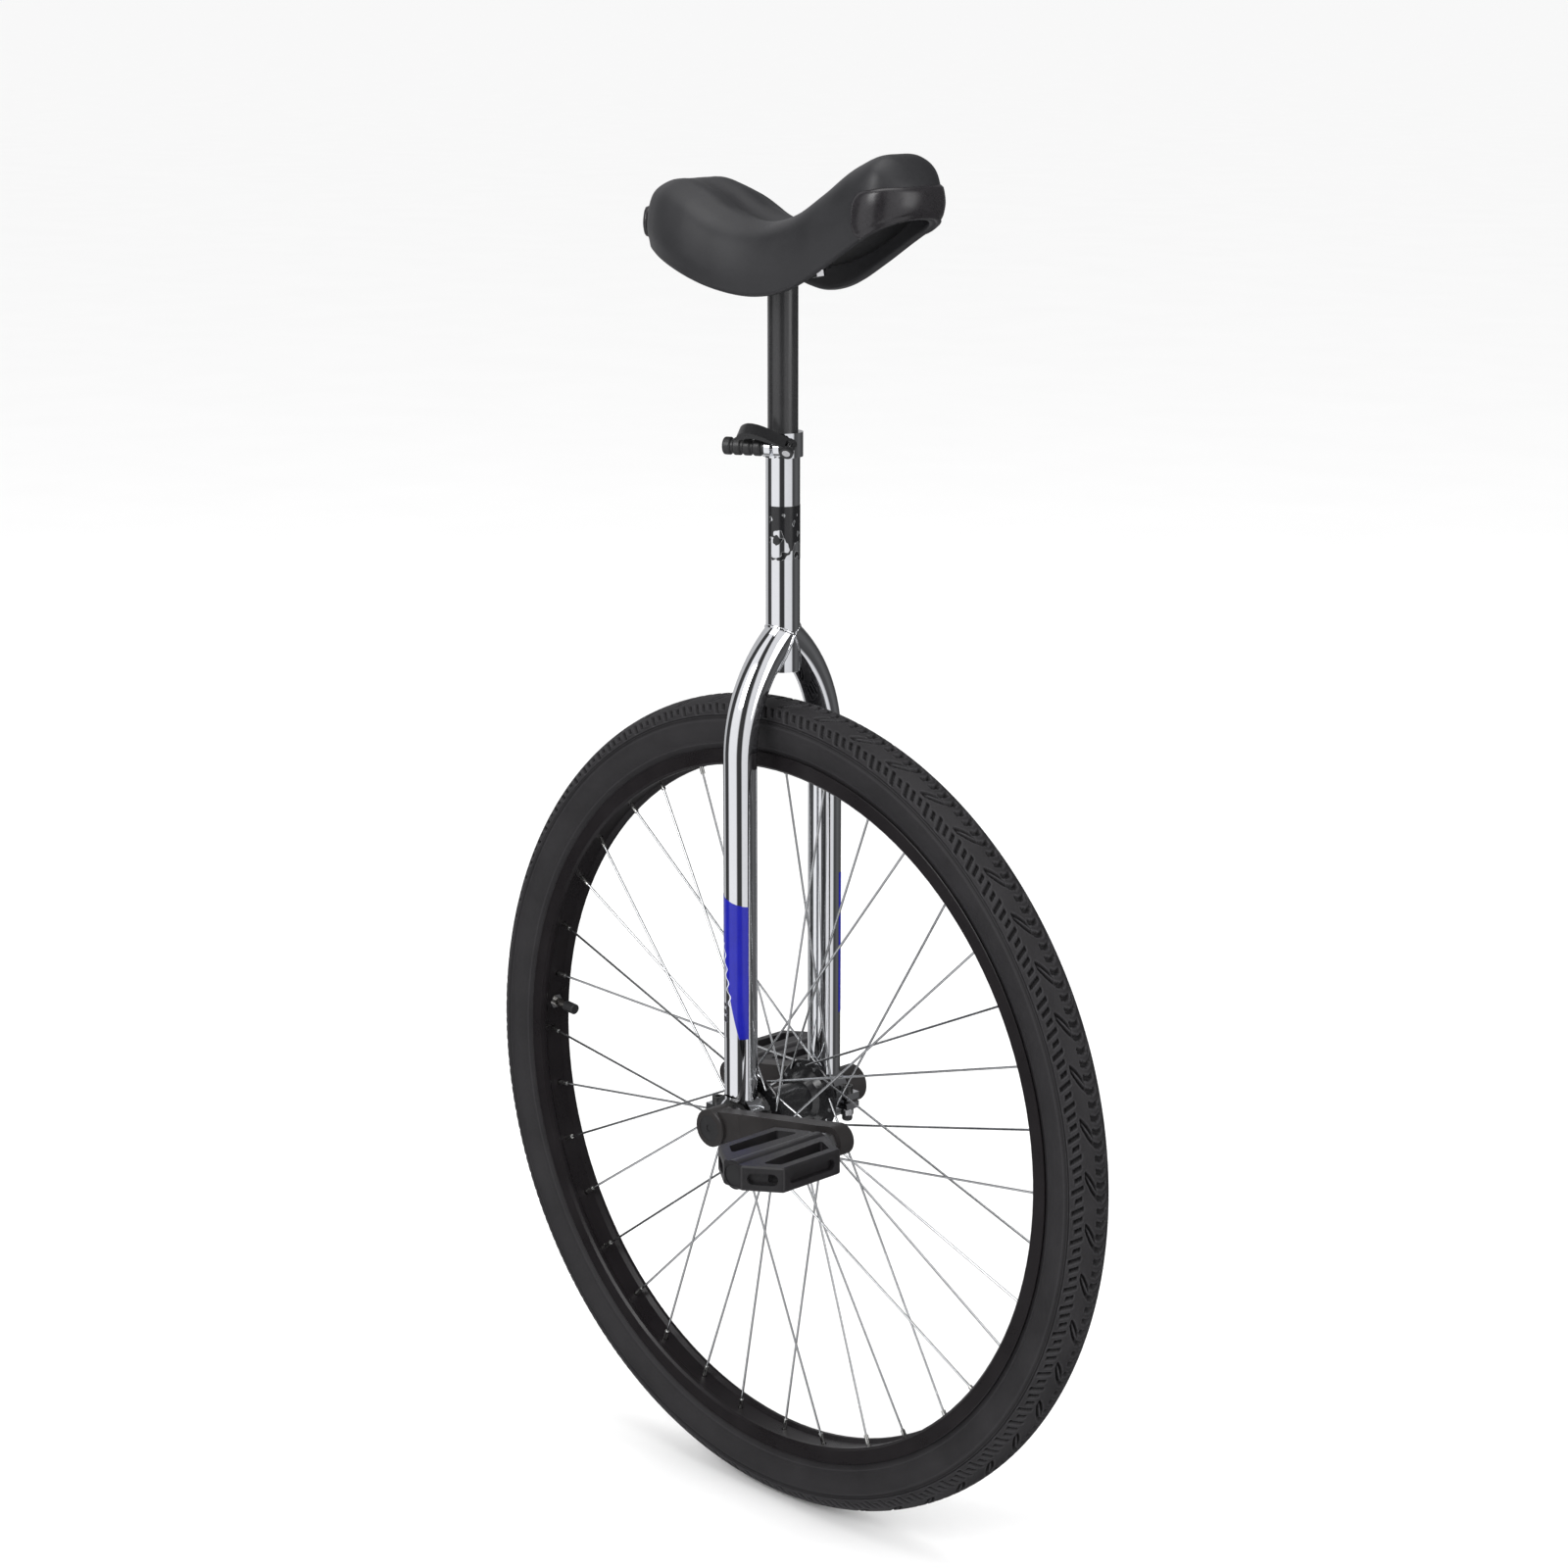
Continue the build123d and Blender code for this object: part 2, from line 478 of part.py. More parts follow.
def make_pedal_platform():
    """The six-sided cage round the barrel, with a long slot in each rail and an oval in each outer bevel."""
    inner, outer, half = PEDAL_INNER_Y, PEDAL_OUTER_Y, PEDAL_HALF_LENGTH
    outline = make_face(Polyline(
        (-PEDAL_END_HALF, outer), (PEDAL_END_HALF, outer), (half, outer - PEDAL_OUTER_BEVEL),
        (half, inner + PEDAL_INNER_BEVEL), (PEDAL_END_HALF, inner), (-PEDAL_END_HALF, inner),
        (-half, inner + PEDAL_INNER_BEVEL), (-half, outer - PEDAL_OUTER_BEVEL), close=True))
    outline = fillet(outline.vertices(), 3.0)
    plate = Pos(0, 0, -PEDAL_HALF_THICKNESS) * extrude(outline, 2 * PEDAL_HALF_THICKNESS)
    rims = plate.edges().filter_by(lambda edge: abs(edge.bounding_box().size.Z) < 0.01)
    plate = chamfer(rims, 1.4)
    window = pedal_window()
    plate = plate - window - mirror(window, Plane.YZ)
    rail_middle = (inner + PEDAL_INNER_BEVEL + outer - PEDAL_OUTER_BEVEL) / 2
    run = half - PEDAL_END_HALF
    for x_side in (-1, 1):
        rail = Plane(origin=(x_side * half, rail_middle, 0), z_dir=(1, 0, 0), x_dir=(0, 1, 0))
        plate -= extrude(rail * SlotOverall(SIDE_SLOT_LENGTH, SIDE_SLOT_HEIGHT), SIDE_SLOT_DEPTH, both=True)
        middle = (x_side * (half + PEDAL_END_HALF) / 2, outer - PEDAL_OUTER_BEVEL / 2, 0)
        bevel = Plane(origin=middle, z_dir=(x_side * PEDAL_OUTER_BEVEL, run, 0),
                      x_dir=(x_side * run, -PEDAL_OUTER_BEVEL, 0))
        oval = SlotOverall(CORNER_SLOT_LENGTH, CORNER_SLOT_HEIGHT)
        plate -= extrude(bevel * oval, CORNER_SLOT_DEPTH, both=True)
        plate -= extrude(bevel * Pos(7.6, 0) * RectangleRounded(8.0, 8.0, 2.5), 12.0, both=True)
    return plate


def make_pedal_body(side):
    body = make_pedal_platform() + cylinder_y(PEDAL_BARREL_RADIUS, PEDAL_INNER_Y, PEDAL_OUTER_Y - 1.5)
    body -= cylinder_y(SPINDLE_INNER_RADIUS + 0.8, PEDAL_INNER_Y - 1, PEDAL_OUTER_Y + 1)
    body -= cylinder_y(BUSH_RADIUS, PEDAL_INNER_Y - 1, PEDAL_INNER_Y + 1 + BUSH_LENGTH)
    body -= cylinder_y(BUSH_RADIUS, PEDAL_OUTER_Y - 10 - BUSH_LENGTH, PEDAL_OUTER_Y + 1)
    return body if side > 0 else mirror(body, Plane.XZ)


def make_pedal_bushes(side):
    inner = ring_y(BUSH_RADIUS, SPINDLE_INNER_RADIUS + RUNNING_CLEARANCE,
                   PEDAL_INNER_Y + 1, PEDAL_INNER_Y + 1 + BUSH_LENGTH)
    outer = ring_y(BUSH_RADIUS, SPINDLE_OUTER_RADIUS + RUNNING_CLEARANCE,
                   PEDAL_OUTER_Y - 10 - BUSH_LENGTH, PEDAL_OUTER_Y - 10)
    pair = [inner, outer]
    return pair if side > 0 else [mirror(bush, Plane.XZ) for bush in pair]


def make_pedal_end_cap(side):
    cap = cylinder_y(BUSH_RADIUS, PEDAL_OUTER_Y - 3.0, PEDAL_OUTER_Y - 1.0)
    return cap if side > 0 else mirror(cap, Plane.XZ)


# ---------------------------------------------------------------- frame
def leg_path(side):
    bend_end_y = LEG_Y - LEG_BEND_RADIUS * (1 - cos(radians(LEG_BEND_ANGLE)))
    bend_end_z = LEG_BEND_START_Z + LEG_BEND_RADIUS * sin(radians(LEG_BEND_ANGLE))
    half_angle = radians(LEG_BEND_ANGLE / 2)
    middle_y = LEG_Y - LEG_BEND_RADIUS * (1 - cos(half_angle))
    middle_z = LEG_BEND_START_Z + LEG_BEND_RADIUS * sin(half_angle)
    start = (0, side * LEG_Y, LEG_FOOT_Z - 6)
    bend_start = (0, side * LEG_Y, LEG_BEND_START_Z)
    straight = Line(start, bend_start)
    arc = ThreePointArc(bend_start, (0, side * middle_y, middle_z), (0, side * bend_end_y, bend_end_z))
    return straight + arc


def make_leg(side):
    """A bent tube, mitred to the side of the steerer at its top and to the bearing holder at its foot."""
    path = leg_path(side)
    foot_plane = Plane(origin=(0, side * LEG_Y, LEG_FOOT_Z - 6))
    outer = sweep(foot_plane * Circle(TUBE_RADIUS), path=path)
    inner = sweep(foot_plane * Circle(TUBE_RADIUS - TUBE_WALL), path=path)
    leg = outer - inner
    leg -= cylinder_z(TUBE_RADIUS, 300, 500)
    leg -= block((-20, 20), sorted((0.4 * side, -60 * side)), (350, 500))
    leg -= cylinder_y(HOLDER_RADIUS, -80, 80)
    return leg - block((-20, 20), sorted((20 * side, 80 * side)), (0, LEG_FOOT_Z))


def make_steerer():
    """The seat tube, cut square at both ends and slit at the top, opposite the collar's ears."""
    bore = POST_RADIUS + RUNNING_CLEARANCE
    tube = cylinder_z(TUBE_RADIUS, STEERER_BOTTOM_Z, STEERER_TOP_Z)
    tube -= cylinder_z(bore, STEERER_BOTTOM_Z - 1, STEERER_TOP_Z + 1)
    slit = block((0, 20), (-1.0, 1.0), (STEERER_TOP_Z - 45, STEERER_TOP_Z + 1))
    slit_end = Plane(origin=(0, 0, STEERER_TOP_Z - 45), x_dir=(0, 1, 0), z_dir=(1, 0, 0)) * Circle(2.5)
    slit += extrude(slit_end, 20)
    return tube - slit.rotate(Axis.Z, COLLAR_SKEW + 90)


def make_bearing_holder(side):
    """The upper half of the clamp, with a round boss under the leg and a bolt ear fore and aft."""
    low = side * BEARING_Y - HOLDER_WIDTH / 2
    high = side * BEARING_Y + HOLDER_WIDTH / 2
    holder = cylinder_y(HOLDER_RADIUS, low, high)
    holder += block((-EAR_REACH, EAR_REACH), (low, high), (HOLDER_GAP, HOLDER_GAP + EAR_THICKNESS))
    holder -= block((-50, 50), (low - 1, high + 1), (-50, HOLDER_GAP))
    boss = cylinder_z(TUBE_RADIUS, 17.0, LEG_FOOT_Z, 0, side * LEG_Y)
    holder += boss
    holder -= cylinder_y(BEARING_RADIUS, low - 10, high + 10)
    return holder - clamp_bolt_holes(side)


def make_bearing_cap(side):
    """The lower half of the clamp."""
    low = side * BEARING_Y - HOLDER_WIDTH / 2
    high = side * BEARING_Y + HOLDER_WIDTH / 2
    cap = cylinder_y(HOLDER_RADIUS, low, high)
    cap += block((-EAR_REACH, EAR_REACH), (low, high), (-HOLDER_GAP - EAR_THICKNESS, -HOLDER_GAP))
    cap -= block((-50, 50), (low - 1, high + 1), (-HOLDER_GAP, 50))
    cap -= cylinder_y(BEARING_RADIUS, low - 1, high + 1)
    return cap - clamp_bolt_holes(side)


def clamp_bolt_holes(side):
    front = cylinder_z(CLAMP_BOLT_RADIUS + 0.2, -20, 20, CLAMP_BOLT_X, side * BEARING_Y)
    return front + cylinder_z(CLAMP_BOLT_RADIUS + 0.2, -20, 20, -CLAMP_BOLT_X, side * BEARING_Y)


def make_clamp_fasteners():
    """Bolts, washers, nuts and thread caps of both bearing clamps, four of each."""
    top = HOLDER_GAP + EAR_THICKNESS
    bolts, washers, nuts, caps = [], [], [], []
    for side in (-1, 1):
        for x in (-CLAMP_BOLT_X, CLAMP_BOLT_X):
            place = Pos(x, side * BEARING_Y, 0)
            head = cylinder_z(5.0, top, top + 5.6) - Pos(0, 0, top + 2.6) * hex_prism(5.0, 4)
            bolts.append(place * (cylinder_z(CLAMP_BOLT_RADIUS, -top - 9.5, top + 0.5) + head))
            washers.append(place * (cylinder_z(6.0, -top - 1.4, -top) - cylinder_z(3.1, -20, 20)))
            nut = Pos(0, 0, -top - 6.4) * hex_prism(10.0, 5.0) - cylinder_z(CLAMP_BOLT_RADIUS, -20, 20)
            nuts.append(place * nut)
            cap = cylinder_z(4.6, -top - 12.0, -top - 6.4) - cylinder_z(3.0, -top - 9.5, 20)
            caps.append(place * fillet(cap.edges().group_by(Axis.Z)[0], 2.2))
    return bolts, washers, nuts, caps


def make_decal(radius, centre_angle, half_angle, z_from, z_to, slant=0.0):
    """A printed film round part of a tube, whose upper edge may slant."""
    film_radius = radius + FILM_GAP + FILM_THICKNESS
    film = cylinder_z(film_radius, z_from, z_to) - cylinder_z(radius + FILM_GAP, z_from - 1, z_to + 1)
    reach = 3 * radius
    corner_x = reach * cos(radians(half_angle))
    corner_y = reach * sin(radians(half_angle))
    wedge = make_face(Polyline((0, 0), (corner_x, corner_y), (reach, reach), (reach, -reach),
                               (corner_x, -corner_y), close=True))
    film = film & (Pos(0, 0, z_from - 1) * extrude(wedge, z_to - z_from + 2))
    if slant:
        top = Polyline((-reach, z_to), (reach, z_to), (reach, z_to - slant), close=True)
        film -= extrude(Plane.YZ.offset(-reach) * make_face(top), 2 * reach)
    return film.rotate(Axis.Z, centre_angle)


def make_leg_decal(side):
    return make_decal(TUBE_RADIUS, 90 * side, LEG_DECAL_HALF_ANGLE, LEG_DECAL_BOTTOM_Z, LEG_DECAL_TOP_Z,
                      LEG_DECAL_SLANT)


def make_steerer_decal():
    return make_decal(TUBE_RADIUS, 0, STEERER_DECAL_HALF_ANGLE, STEERER_DECAL_BOTTOM_Z, STEERER_DECAL_TOP_Z)


# ---------------------------------------------------------------- seat collar, skewer, lever and knob
EAR_DIRECTION = (sin(radians(COLLAR_SKEW)), -cos(radians(COLLAR_SKEW)), 0)
SKEWER_DIRECTION = (cos(radians(COLLAR_SKEW)), sin(radians(COLLAR_SKEW)), 0)
SKEWER_PLANE = Plane(
    origin=(SKEWER_REACH * EAR_DIRECTION[0], SKEWER_REACH * EAR_DIRECTION[1], SKEWER_Z),
    x_dir=(0, 0, 1), z_dir=SKEWER_DIRECTION)
COLLAR_PLANE = Plane(origin=(0, 0, 0), x_dir=EAR_DIRECTION, z_dir=(0, 0, 1))
LEVER_AXIS = (
    -sin(radians(COLLAR_SKEW)) * sin(radians(LEVER_TILT)),
    cos(radians(COLLAR_SKEW)) * sin(radians(LEVER_TILT)),
    cos(radians(LEVER_TILT)))
LEVER_ORIGIN = (
    SKEWER_REACH * EAR_DIRECTION[0] + LEVER_PIVOT * SKEWER_DIRECTION[0],
    SKEWER_REACH * EAR_DIRECTION[1] + LEVER_PIVOT * SKEWER_DIRECTION[1],
    SKEWER_Z)
LEVER_PLANE = Plane(origin=LEVER_ORIGIN, x_dir=SKEWER_DIRECTION, z_dir=LEVER_AXIS)


def make_collar():
    """A split ring with two ears and a lip over the steerer's end. Local +X runs out along the ears."""
    ring = cylinder_z(COLLAR_RADIUS, COLLAR_BOTTOM_Z, COLLAR_TOP_Z)
    ear_outline = Pos(SKEWER_REACH, SKEWER_Z) * Circle(7.0) + Pos(17, SKEWER_Z) * Rectangle(11, 14)
    ears = extrude(Plane.XZ * ear_outline, EAR_HALF_SPREAD, both=True)
    collar = ring + ears
    collar -= cylinder_z(TUBE_RADIUS + RUNNING_CLEARANCE, COLLAR_BOTTOM_Z - 1, STEERER_TOP_Z + 0.3)
    collar -= cylinder_z(POST_RADIUS + 0.1, COLLAR_BOTTOM_Z, COLLAR_TOP_Z + 1)
    collar -= block((0, 40), (-SLIT_WIDTH / 2, SLIT_WIDTH / 2), (COLLAR_BOTTOM_Z - 1, COLLAR_TOP_Z + 1))
    placed = COLLAR_PLANE * collar
    hole = extrude(SKEWER_PLANE * Circle(SKEWER_RADIUS + 0.15), 20, both=True)
    return placed - hole


def make_skewer():
    """The threaded rod through the ears, with the round cross-pin that the lever turns on."""
    rod = extrude(SKEWER_PLANE.offset(-KNOB_END + 8) * Circle(SKEWER_RADIUS), KNOB_END - 8 + LEVER_PIVOT)
    pin = LEVER_PLANE * cylinder_z(3.4, -6.4, 6.4)
    return rod + pin


def make_lever():
    """The cam and its handle. Locally +X runs along the skewer and -Y away from it."""
    cam = cylinder_z(CAM_RADIUS, -6.5, 6.5)
    outer_edge = Spline((0, -CAM_RADIUS), (-11.5, -13.2), (-23, -19.0), (-32.5, -20.4), (-39.5, -16.6))
    inner_edge = Spline((-37.4, -11.9), (-31, -14.6), (-22, -13.6), (-12.6, -10.2), (-5.3, -7.6))
    tip = ThreePointArc((-39.5, -16.6), (-40.1, -13.4), (-37.4, -11.9))
    root = Polyline((-5.3, -7.6), (-4.6, -2.8), (0, -CAM_RADIUS))
    handle_face = make_face([outer_edge, tip, inner_edge, root])
    handle = Pos(0, 0, -6.0) * extrude(handle_face, 12.0)
    lever = cam + handle
    lever -= cylinder_z(3.4 + RUNNING_CLEARANCE, -7, 7)
    lever -= block((-20, 5), (-6.2, 20), (-3.1, 3.1))
    lever -= block((4, 8), (-1.0, 20), (-3.1, 3.1))
    return LEVER_PLANE * lever


def make_knob():
    """The thumb nut at the skewer's rear end, with four rounded rings round its core."""
    start = KNOB_START + 3
    ring_length = (KNOB_END - start - 3 * KNOB_GAP) / 4
    body = extrude(SKEWER_PLANE.offset(-KNOB_END + 1) * Circle(KNOB_RADIUS - 1.3), KNOB_END - start - 2)
    for index in range(4):
        ring_plane = SKEWER_PLANE.offset(-KNOB_END + index * (ring_length + KNOB_GAP))
        ring = extrude(ring_plane * Circle(KNOB_RADIUS), ring_length)
        body += fillet(ring.edges().filter_by(GeomType.CIRCLE), 1.8)
    body += extrude(SKEWER_PLANE.offset(-start - 0.5) * Circle(5.6), 3.5)
    bore_circle = Circle(SKEWER_RADIUS + RUNNING_CLEARANCE)
    bore = extrude(SKEWER_PLANE.offset(-KNOB_END + 7.5) * bore_circle, KNOB_END)
    return body - bore


# ---------------------------------------------------------------- seat post and saddle
def saddle_arc_height(x, radius):
    """Height of an arc about the saddle's arc centre at a value of x."""
    centre_x, centre_z = SADDLE_ARC_CENTRE
    return centre_z - sqrt(radius ** 2 - (x - centre_x) ** 2)


def saddle_arc_cylinder(radius):
    centre_x, centre_z = SADDLE_ARC_CENTRE
    return cylinder_y(radius, -90, 90, centre_x, centre_z)


def make_seat_post():
    top = saddle_arc_height(0, SADDLE_ARC_RADIUS + BRACKET_THICKNESS)
    post = cylinder_z(POST_RADIUS, POST_BOTTOM_Z, top + 6)
    post -= cylinder_z(POST_RADIUS - POST_WALL, POST_BOTTOM_Z - 1, top + 8)
    return post - saddle_arc_cylinder(SADDLE_ARC_RADIUS + BRACKET_THICKNESS)


def saddle_bolt_places():
    for x in (-SADDLE_BOLT_X, SADDLE_BOLT_X):
        for y in (-SADDLE_BOLT_Y, SADDLE_BOLT_Y):
            angle = degrees(asin((x - SADDLE_ARC_CENTRE[0]) / SADDLE_ARC_RADIUS))
            height = saddle_arc_height(x, SADDLE_ARC_RADIUS)
            yield Pos(x, y, height) * Rot(0, -angle, 0)


def make_saddle_bracket():
    """A curved steel plate welded across the post's top, bolted to the saddle's base."""
    plate = block((-42, 42), (-18, 18), (680, 760))
    plate = fillet(plate.edges().filter_by(Axis.Z), 8.0)
    plate &= saddle_arc_cylinder(SADDLE_ARC_RADIUS + BRACKET_THICKNESS)
    plate -= saddle_arc_cylinder(SADDLE_ARC_RADIUS)
    for place in saddle_bolt_places():
        plate -= place * cylinder_z(3.3, -20, 20)
    return plate


def make_saddle_fasteners():
    bolts, nuts = [], []
    for place in saddle_bolt_places():
        head = Pos(0, 0, -BRACKET_THICKNESS - 5.5) * hex_prism(10.0, 4.5)
        flange = cylinder_z(6.5, -BRACKET_THICKNESS - 1.2, -BRACKET_THICKNESS)
        bolts.append(place * (head + flange + cylinder_z(3.0, -BRACKET_THICKNESS - 1, 9)))
        nut = cylinder_z(7.0, SADDLE_BASE_THICKNESS + 0.3, 9.5) - cylinder_z(3.05, -1, 20)
        nuts.append(place * nut)
    return bolts, nuts


def saddle_loft(inset, drop=0.0):
    """A closed body through the saddle's cross-sections, drawn in by an inset and let down by a drop."""
    first = SADDLE_SECTIONS[0][0]
    last = SADDLE_SECTIONS[-1][0]
    faces = []
    for x, top, bottom, half_width in SADDLE_SECTIONS:
        station = x
        if x in (first, last):
            station = x - inset if x > 0 else x + inset
        width = half_width - inset
        rise = top - inset - bottom
        foot = (0.93 * width, bottom)
        edge = Spline(
            (-foot[0], bottom), (-width, bottom + 0.35 * rise), (-0.86 * width, bottom + 0.78 * rise),
            (-0.48 * width, bottom + 0.97 * rise), (0, bottom + rise), (0.48 * width, bottom + 0.97 * rise),
            (0.86 * width, bottom + 0.78 * rise), (width, bottom + 0.35 * rise), foot)
        hem_z = bottom - 1 - drop
        hem = Polyline(foot, (foot[0], hem_z), (-foot[0], hem_z), (-foot[0], bottom))
        section_plane = Plane(origin=(station, 0, 0), x_dir=(0, 1, 0), z_dir=(1, 0, 0))
        faces.append(section_plane * make_face(edge + hem))
    return loft(faces)


def saddle_plan(inset):
    """The saddle's outline from above, drawn in all round and extruded through it."""
    near = [(x, half_width - inset) for x, top, bottom, half_width in SADDLE_SECTIONS[1:-1]]
    tail = SADDLE_SECTIONS[0][0] + inset
    nose = SADDLE_SECTIONS[-1][0] - inset
    points = [(tail, 12)] + near + [(nose, 12)]
    left = Spline(*points)
    right = Spline(*[(x, -y) for x, y in points])
    outline = left + Line(points[-1], (nose, -12)) + right + Line((tail, -12), points[0])
    return Pos(0, 0, 640) * extrude(make_face(outline), 240)


def saddle_cavity():
    """The hollow under the saddle, up to the top of its base, kept clear of the cover at the nose."""
    hollow = saddle_plan(SKIRT_THICKNESS) - saddle_arc_cylinder(SADDLE_ARC_RADIUS - SADDLE_BASE_THICKNESS)
    return hollow & saddle_loft(CAVITY_INSET, 20.0)


def make_saddle_base():
    """The stiff moulded base that carries the foam and the bumpers."""
    shell = saddle_arc_cylinder(SADDLE_ARC_RADIUS)
    shell -= saddle_arc_cylinder(SADDLE_ARC_RADIUS - SADDLE_BASE_THICKNESS)
    base = saddle_plan(SKIRT_THICKNESS + 0.3) & shell & saddle_loft(CAVITY_INSET + 0.3, 20.0)
    for place in saddle_bolt_places():
        base -= place * cylinder_z(3.2, -20, 20)
    return base


def make_saddle_foam_and_cover():
    foam_body = saddle_loft(COVER_THICKNESS, 12.0)
    outer = saddle_loft(0.0)
    cavity = saddle_cavity()
    foam = (foam_body & outer) - cavity
    for place in saddle_bolt_places():
        foam -= place * cylinder_z(7.4, -2, 10)
    cover = outer - foam_body - cavity
    return foam, cover


def make_bumpers():
    """Moulded guards round the nose and the tail."""
    skin = saddle_loft(-BUMPER_THICKNESS) - saddle_loft(-0.15, 30.0)
    front_side = [(120, 748), (124, 776), (134, 788), (175, 792), (175, 750)]
    rear_side = [(-114, 736), (-117, 758), (-124, 767), (-150, 767), (-150, 736)]
    bumpers = []
    for corners in (front_side, rear_side):
        side_face = Plane.XZ * make_face(Polyline(*corners, close=True))
        bumpers.append(skin & (Pos(0, 90, 0) * extrude(side_face, 180)))
    return bumpers


# ---------------------------------------------------------------- write every node
os.makedirs("parts", exist_ok=True)

write("tyre", make_tyre())
write("inner_tube", make_inner_tube())
write("rim", make_rim())
write("rim_strip", make_rim_strip())
valve_stem, valve_nut, valve_cap = make_valve()
write("valve_stem", valve_stem)
write("valve_nut", valve_nut)
write("valve_cap", valve_cap)
right_spokes, left_spokes, nipples = make_spokes()
write("left_spokes", *left_spokes)
write("right_spokes", *right_spokes)
write("spoke_nipples", *nipples)
write("hub_shell", make_hub_shell())
write("axle", make_axle())
write("axle_spacers", *make_axle_spacers())

all_shields = []
inner_rings = []
for name, side in (("right", -1), ("left", 1)):
    outer_ring, inner_ring, cage, balls, shields = make_bearing(side)
    write(f"{name}_bearing_outer_ring", outer_ring)
    inner_rings.append(inner_ring)
    write(f"{name}_bearing_cage", cage)
    write(f"{name}_bearing_balls", *balls)
    all_shields += shields
    write(f"{name}_leg", make_leg(side))
    write(f"{name}_bearing_holder", make_bearing_holder(side))
    write(f"{name}_bearing_cap", make_bearing_cap(side))
    write(f"{name}_crank", turn_crank(make_crank(side), side))
    at_pedal = Pos(*pedal_centre(side))
    write(f"{name}_pedal_spindle", at_pedal * make_pedal_spindle(side))
    write(f"{name}_pedal_body", at_pedal * make_pedal_body(side))
    write(f"{name}_pedal_bushes", *[at_pedal * bush for bush in make_pedal_bushes(side)])
    write(f"{name}_pedal_end_cap", at_pedal * make_pedal_end_cap(side))
write("bearing_shields", *all_shields)
write("bearing_inner_rings", *inner_rings)
write("crank_bolts", *[turn_crank(make_crank_bolt(side), side) for side in (-1, 1)])
write("crank_dust_caps", *[turn_crank(make_dust_cap(side), side) for side in (-1, 1)])
write("pedal_locknuts", *[Pos(*pedal_centre(side)) * make_pedal_locknut(side) for side in (-1, 1)])

write("steerer_tube", make_steerer())
bolts, washers, nuts, caps = make_clamp_fasteners()
write("clamp_bolts", *bolts)
write("clamp_washers", *washers)
write("clamp_nuts", *nuts)
write("clamp_nut_caps", *caps)
leg_decals = [Pos(0, side * LEG_Y, 0) * make_leg_decal(side) for side in (-1, 1)]
write("leg_decals", *leg_decals)
write("steerer_decal", make_steerer_decal())

write("seat_collar", make_collar())
write("skewer", make_skewer())
write("lever", make_lever())
write("knob", make_knob())

write("seat_post", make_seat_post())
write("saddle_bracket", make_saddle_bracket())
saddle_bolts, saddle_nuts = make_saddle_fasteners()
write("saddle_bolts", *saddle_bolts)
write("saddle_nuts", *saddle_nuts)
write("saddle_base", make_saddle_base())
foam, cover = make_saddle_foam_and_cover()
write("saddle_foam", foam)
write("saddle_cover", cover)
front_bumper, rear_bumper = make_bumpers()
write("front_bumper", front_bumper)
write("rear_bumper", rear_bumper)
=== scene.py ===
import json
import math

import bmesh
import bpy
import numpy as np
from mathutils import Matrix, Vector
from mathutils.bvhtree import BVHTree


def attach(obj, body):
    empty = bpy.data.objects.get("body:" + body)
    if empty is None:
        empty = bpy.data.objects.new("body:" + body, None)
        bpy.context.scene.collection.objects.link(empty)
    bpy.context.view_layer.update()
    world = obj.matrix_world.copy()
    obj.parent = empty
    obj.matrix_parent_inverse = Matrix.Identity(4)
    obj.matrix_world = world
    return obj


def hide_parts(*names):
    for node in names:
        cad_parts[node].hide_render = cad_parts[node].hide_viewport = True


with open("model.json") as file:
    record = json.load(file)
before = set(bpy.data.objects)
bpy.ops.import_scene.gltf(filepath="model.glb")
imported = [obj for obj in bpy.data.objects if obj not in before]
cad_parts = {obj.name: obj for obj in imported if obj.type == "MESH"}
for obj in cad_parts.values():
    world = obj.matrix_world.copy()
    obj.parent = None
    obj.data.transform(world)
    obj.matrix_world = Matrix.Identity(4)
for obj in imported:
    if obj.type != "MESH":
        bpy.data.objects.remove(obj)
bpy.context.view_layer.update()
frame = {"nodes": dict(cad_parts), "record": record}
NODE_SLOT = {part["node"]: part["material_slot"] for part in frame["record"]["subparts"]}

# all sizes are in metres unless a line says otherwise
HUB_Z = 0.361                     # height of the wheel's axis over the ground
LEG_Y = 0.050                     # from the middle plane to a straight leg's axis
TUBE_RADIUS = 0.0143              # the legs and the seat tube are the same tube


# ---------------------------------------------------------------- mesh helpers
def mesh_object(name, vertices, faces, material, merge=0.0):
    """A smooth-shaded mesh from lists of points and faces, with doubled points merged."""
    mesh = bpy.data.meshes.new(name)
    mesh.from_pydata([tuple(v) for v in vertices], [], faces)
    bm = bmesh.new()
    bm.from_mesh(mesh)
    if merge:
        bmesh.ops.remove_doubles(bm, verts=bm.verts, dist=merge)
        bmesh.ops.dissolve_degenerate(bm, edges=bm.edges, dist=merge)
    bmesh.ops.recalc_face_normals(bm, faces=bm.faces)
    bm.to_mesh(mesh)
    bm.free()
    mesh.polygons.foreach_set("use_smooth", [True] * len(mesh.polygons))
    mesh.materials.append(material)
    obj = bpy.data.objects.new(name, mesh)
    bpy.context.scene.collection.objects.link(obj)
    return obj


def grid_faces(rows, columns, close_rows, close_columns):
    """Quads of a grid whose vertices run row by row."""
    faces = []
    for i in range(rows if close_rows else rows - 1):
        for j in range(columns if close_columns else columns - 1):
            a, b = i, (i + 1) % rows
            c, d = j, (j + 1) % columns
            faces.append((a * columns + c, b * columns + c, b * columns + d, a * columns + d))
    return faces


def smoothstep(low, high, value):
    """0 below low, 1 above high, and a smooth rise between them."""
    t = np.clip((value - low) / (high - low), 0.0, 1.0)
    return t * t * (3 - 2 * t)


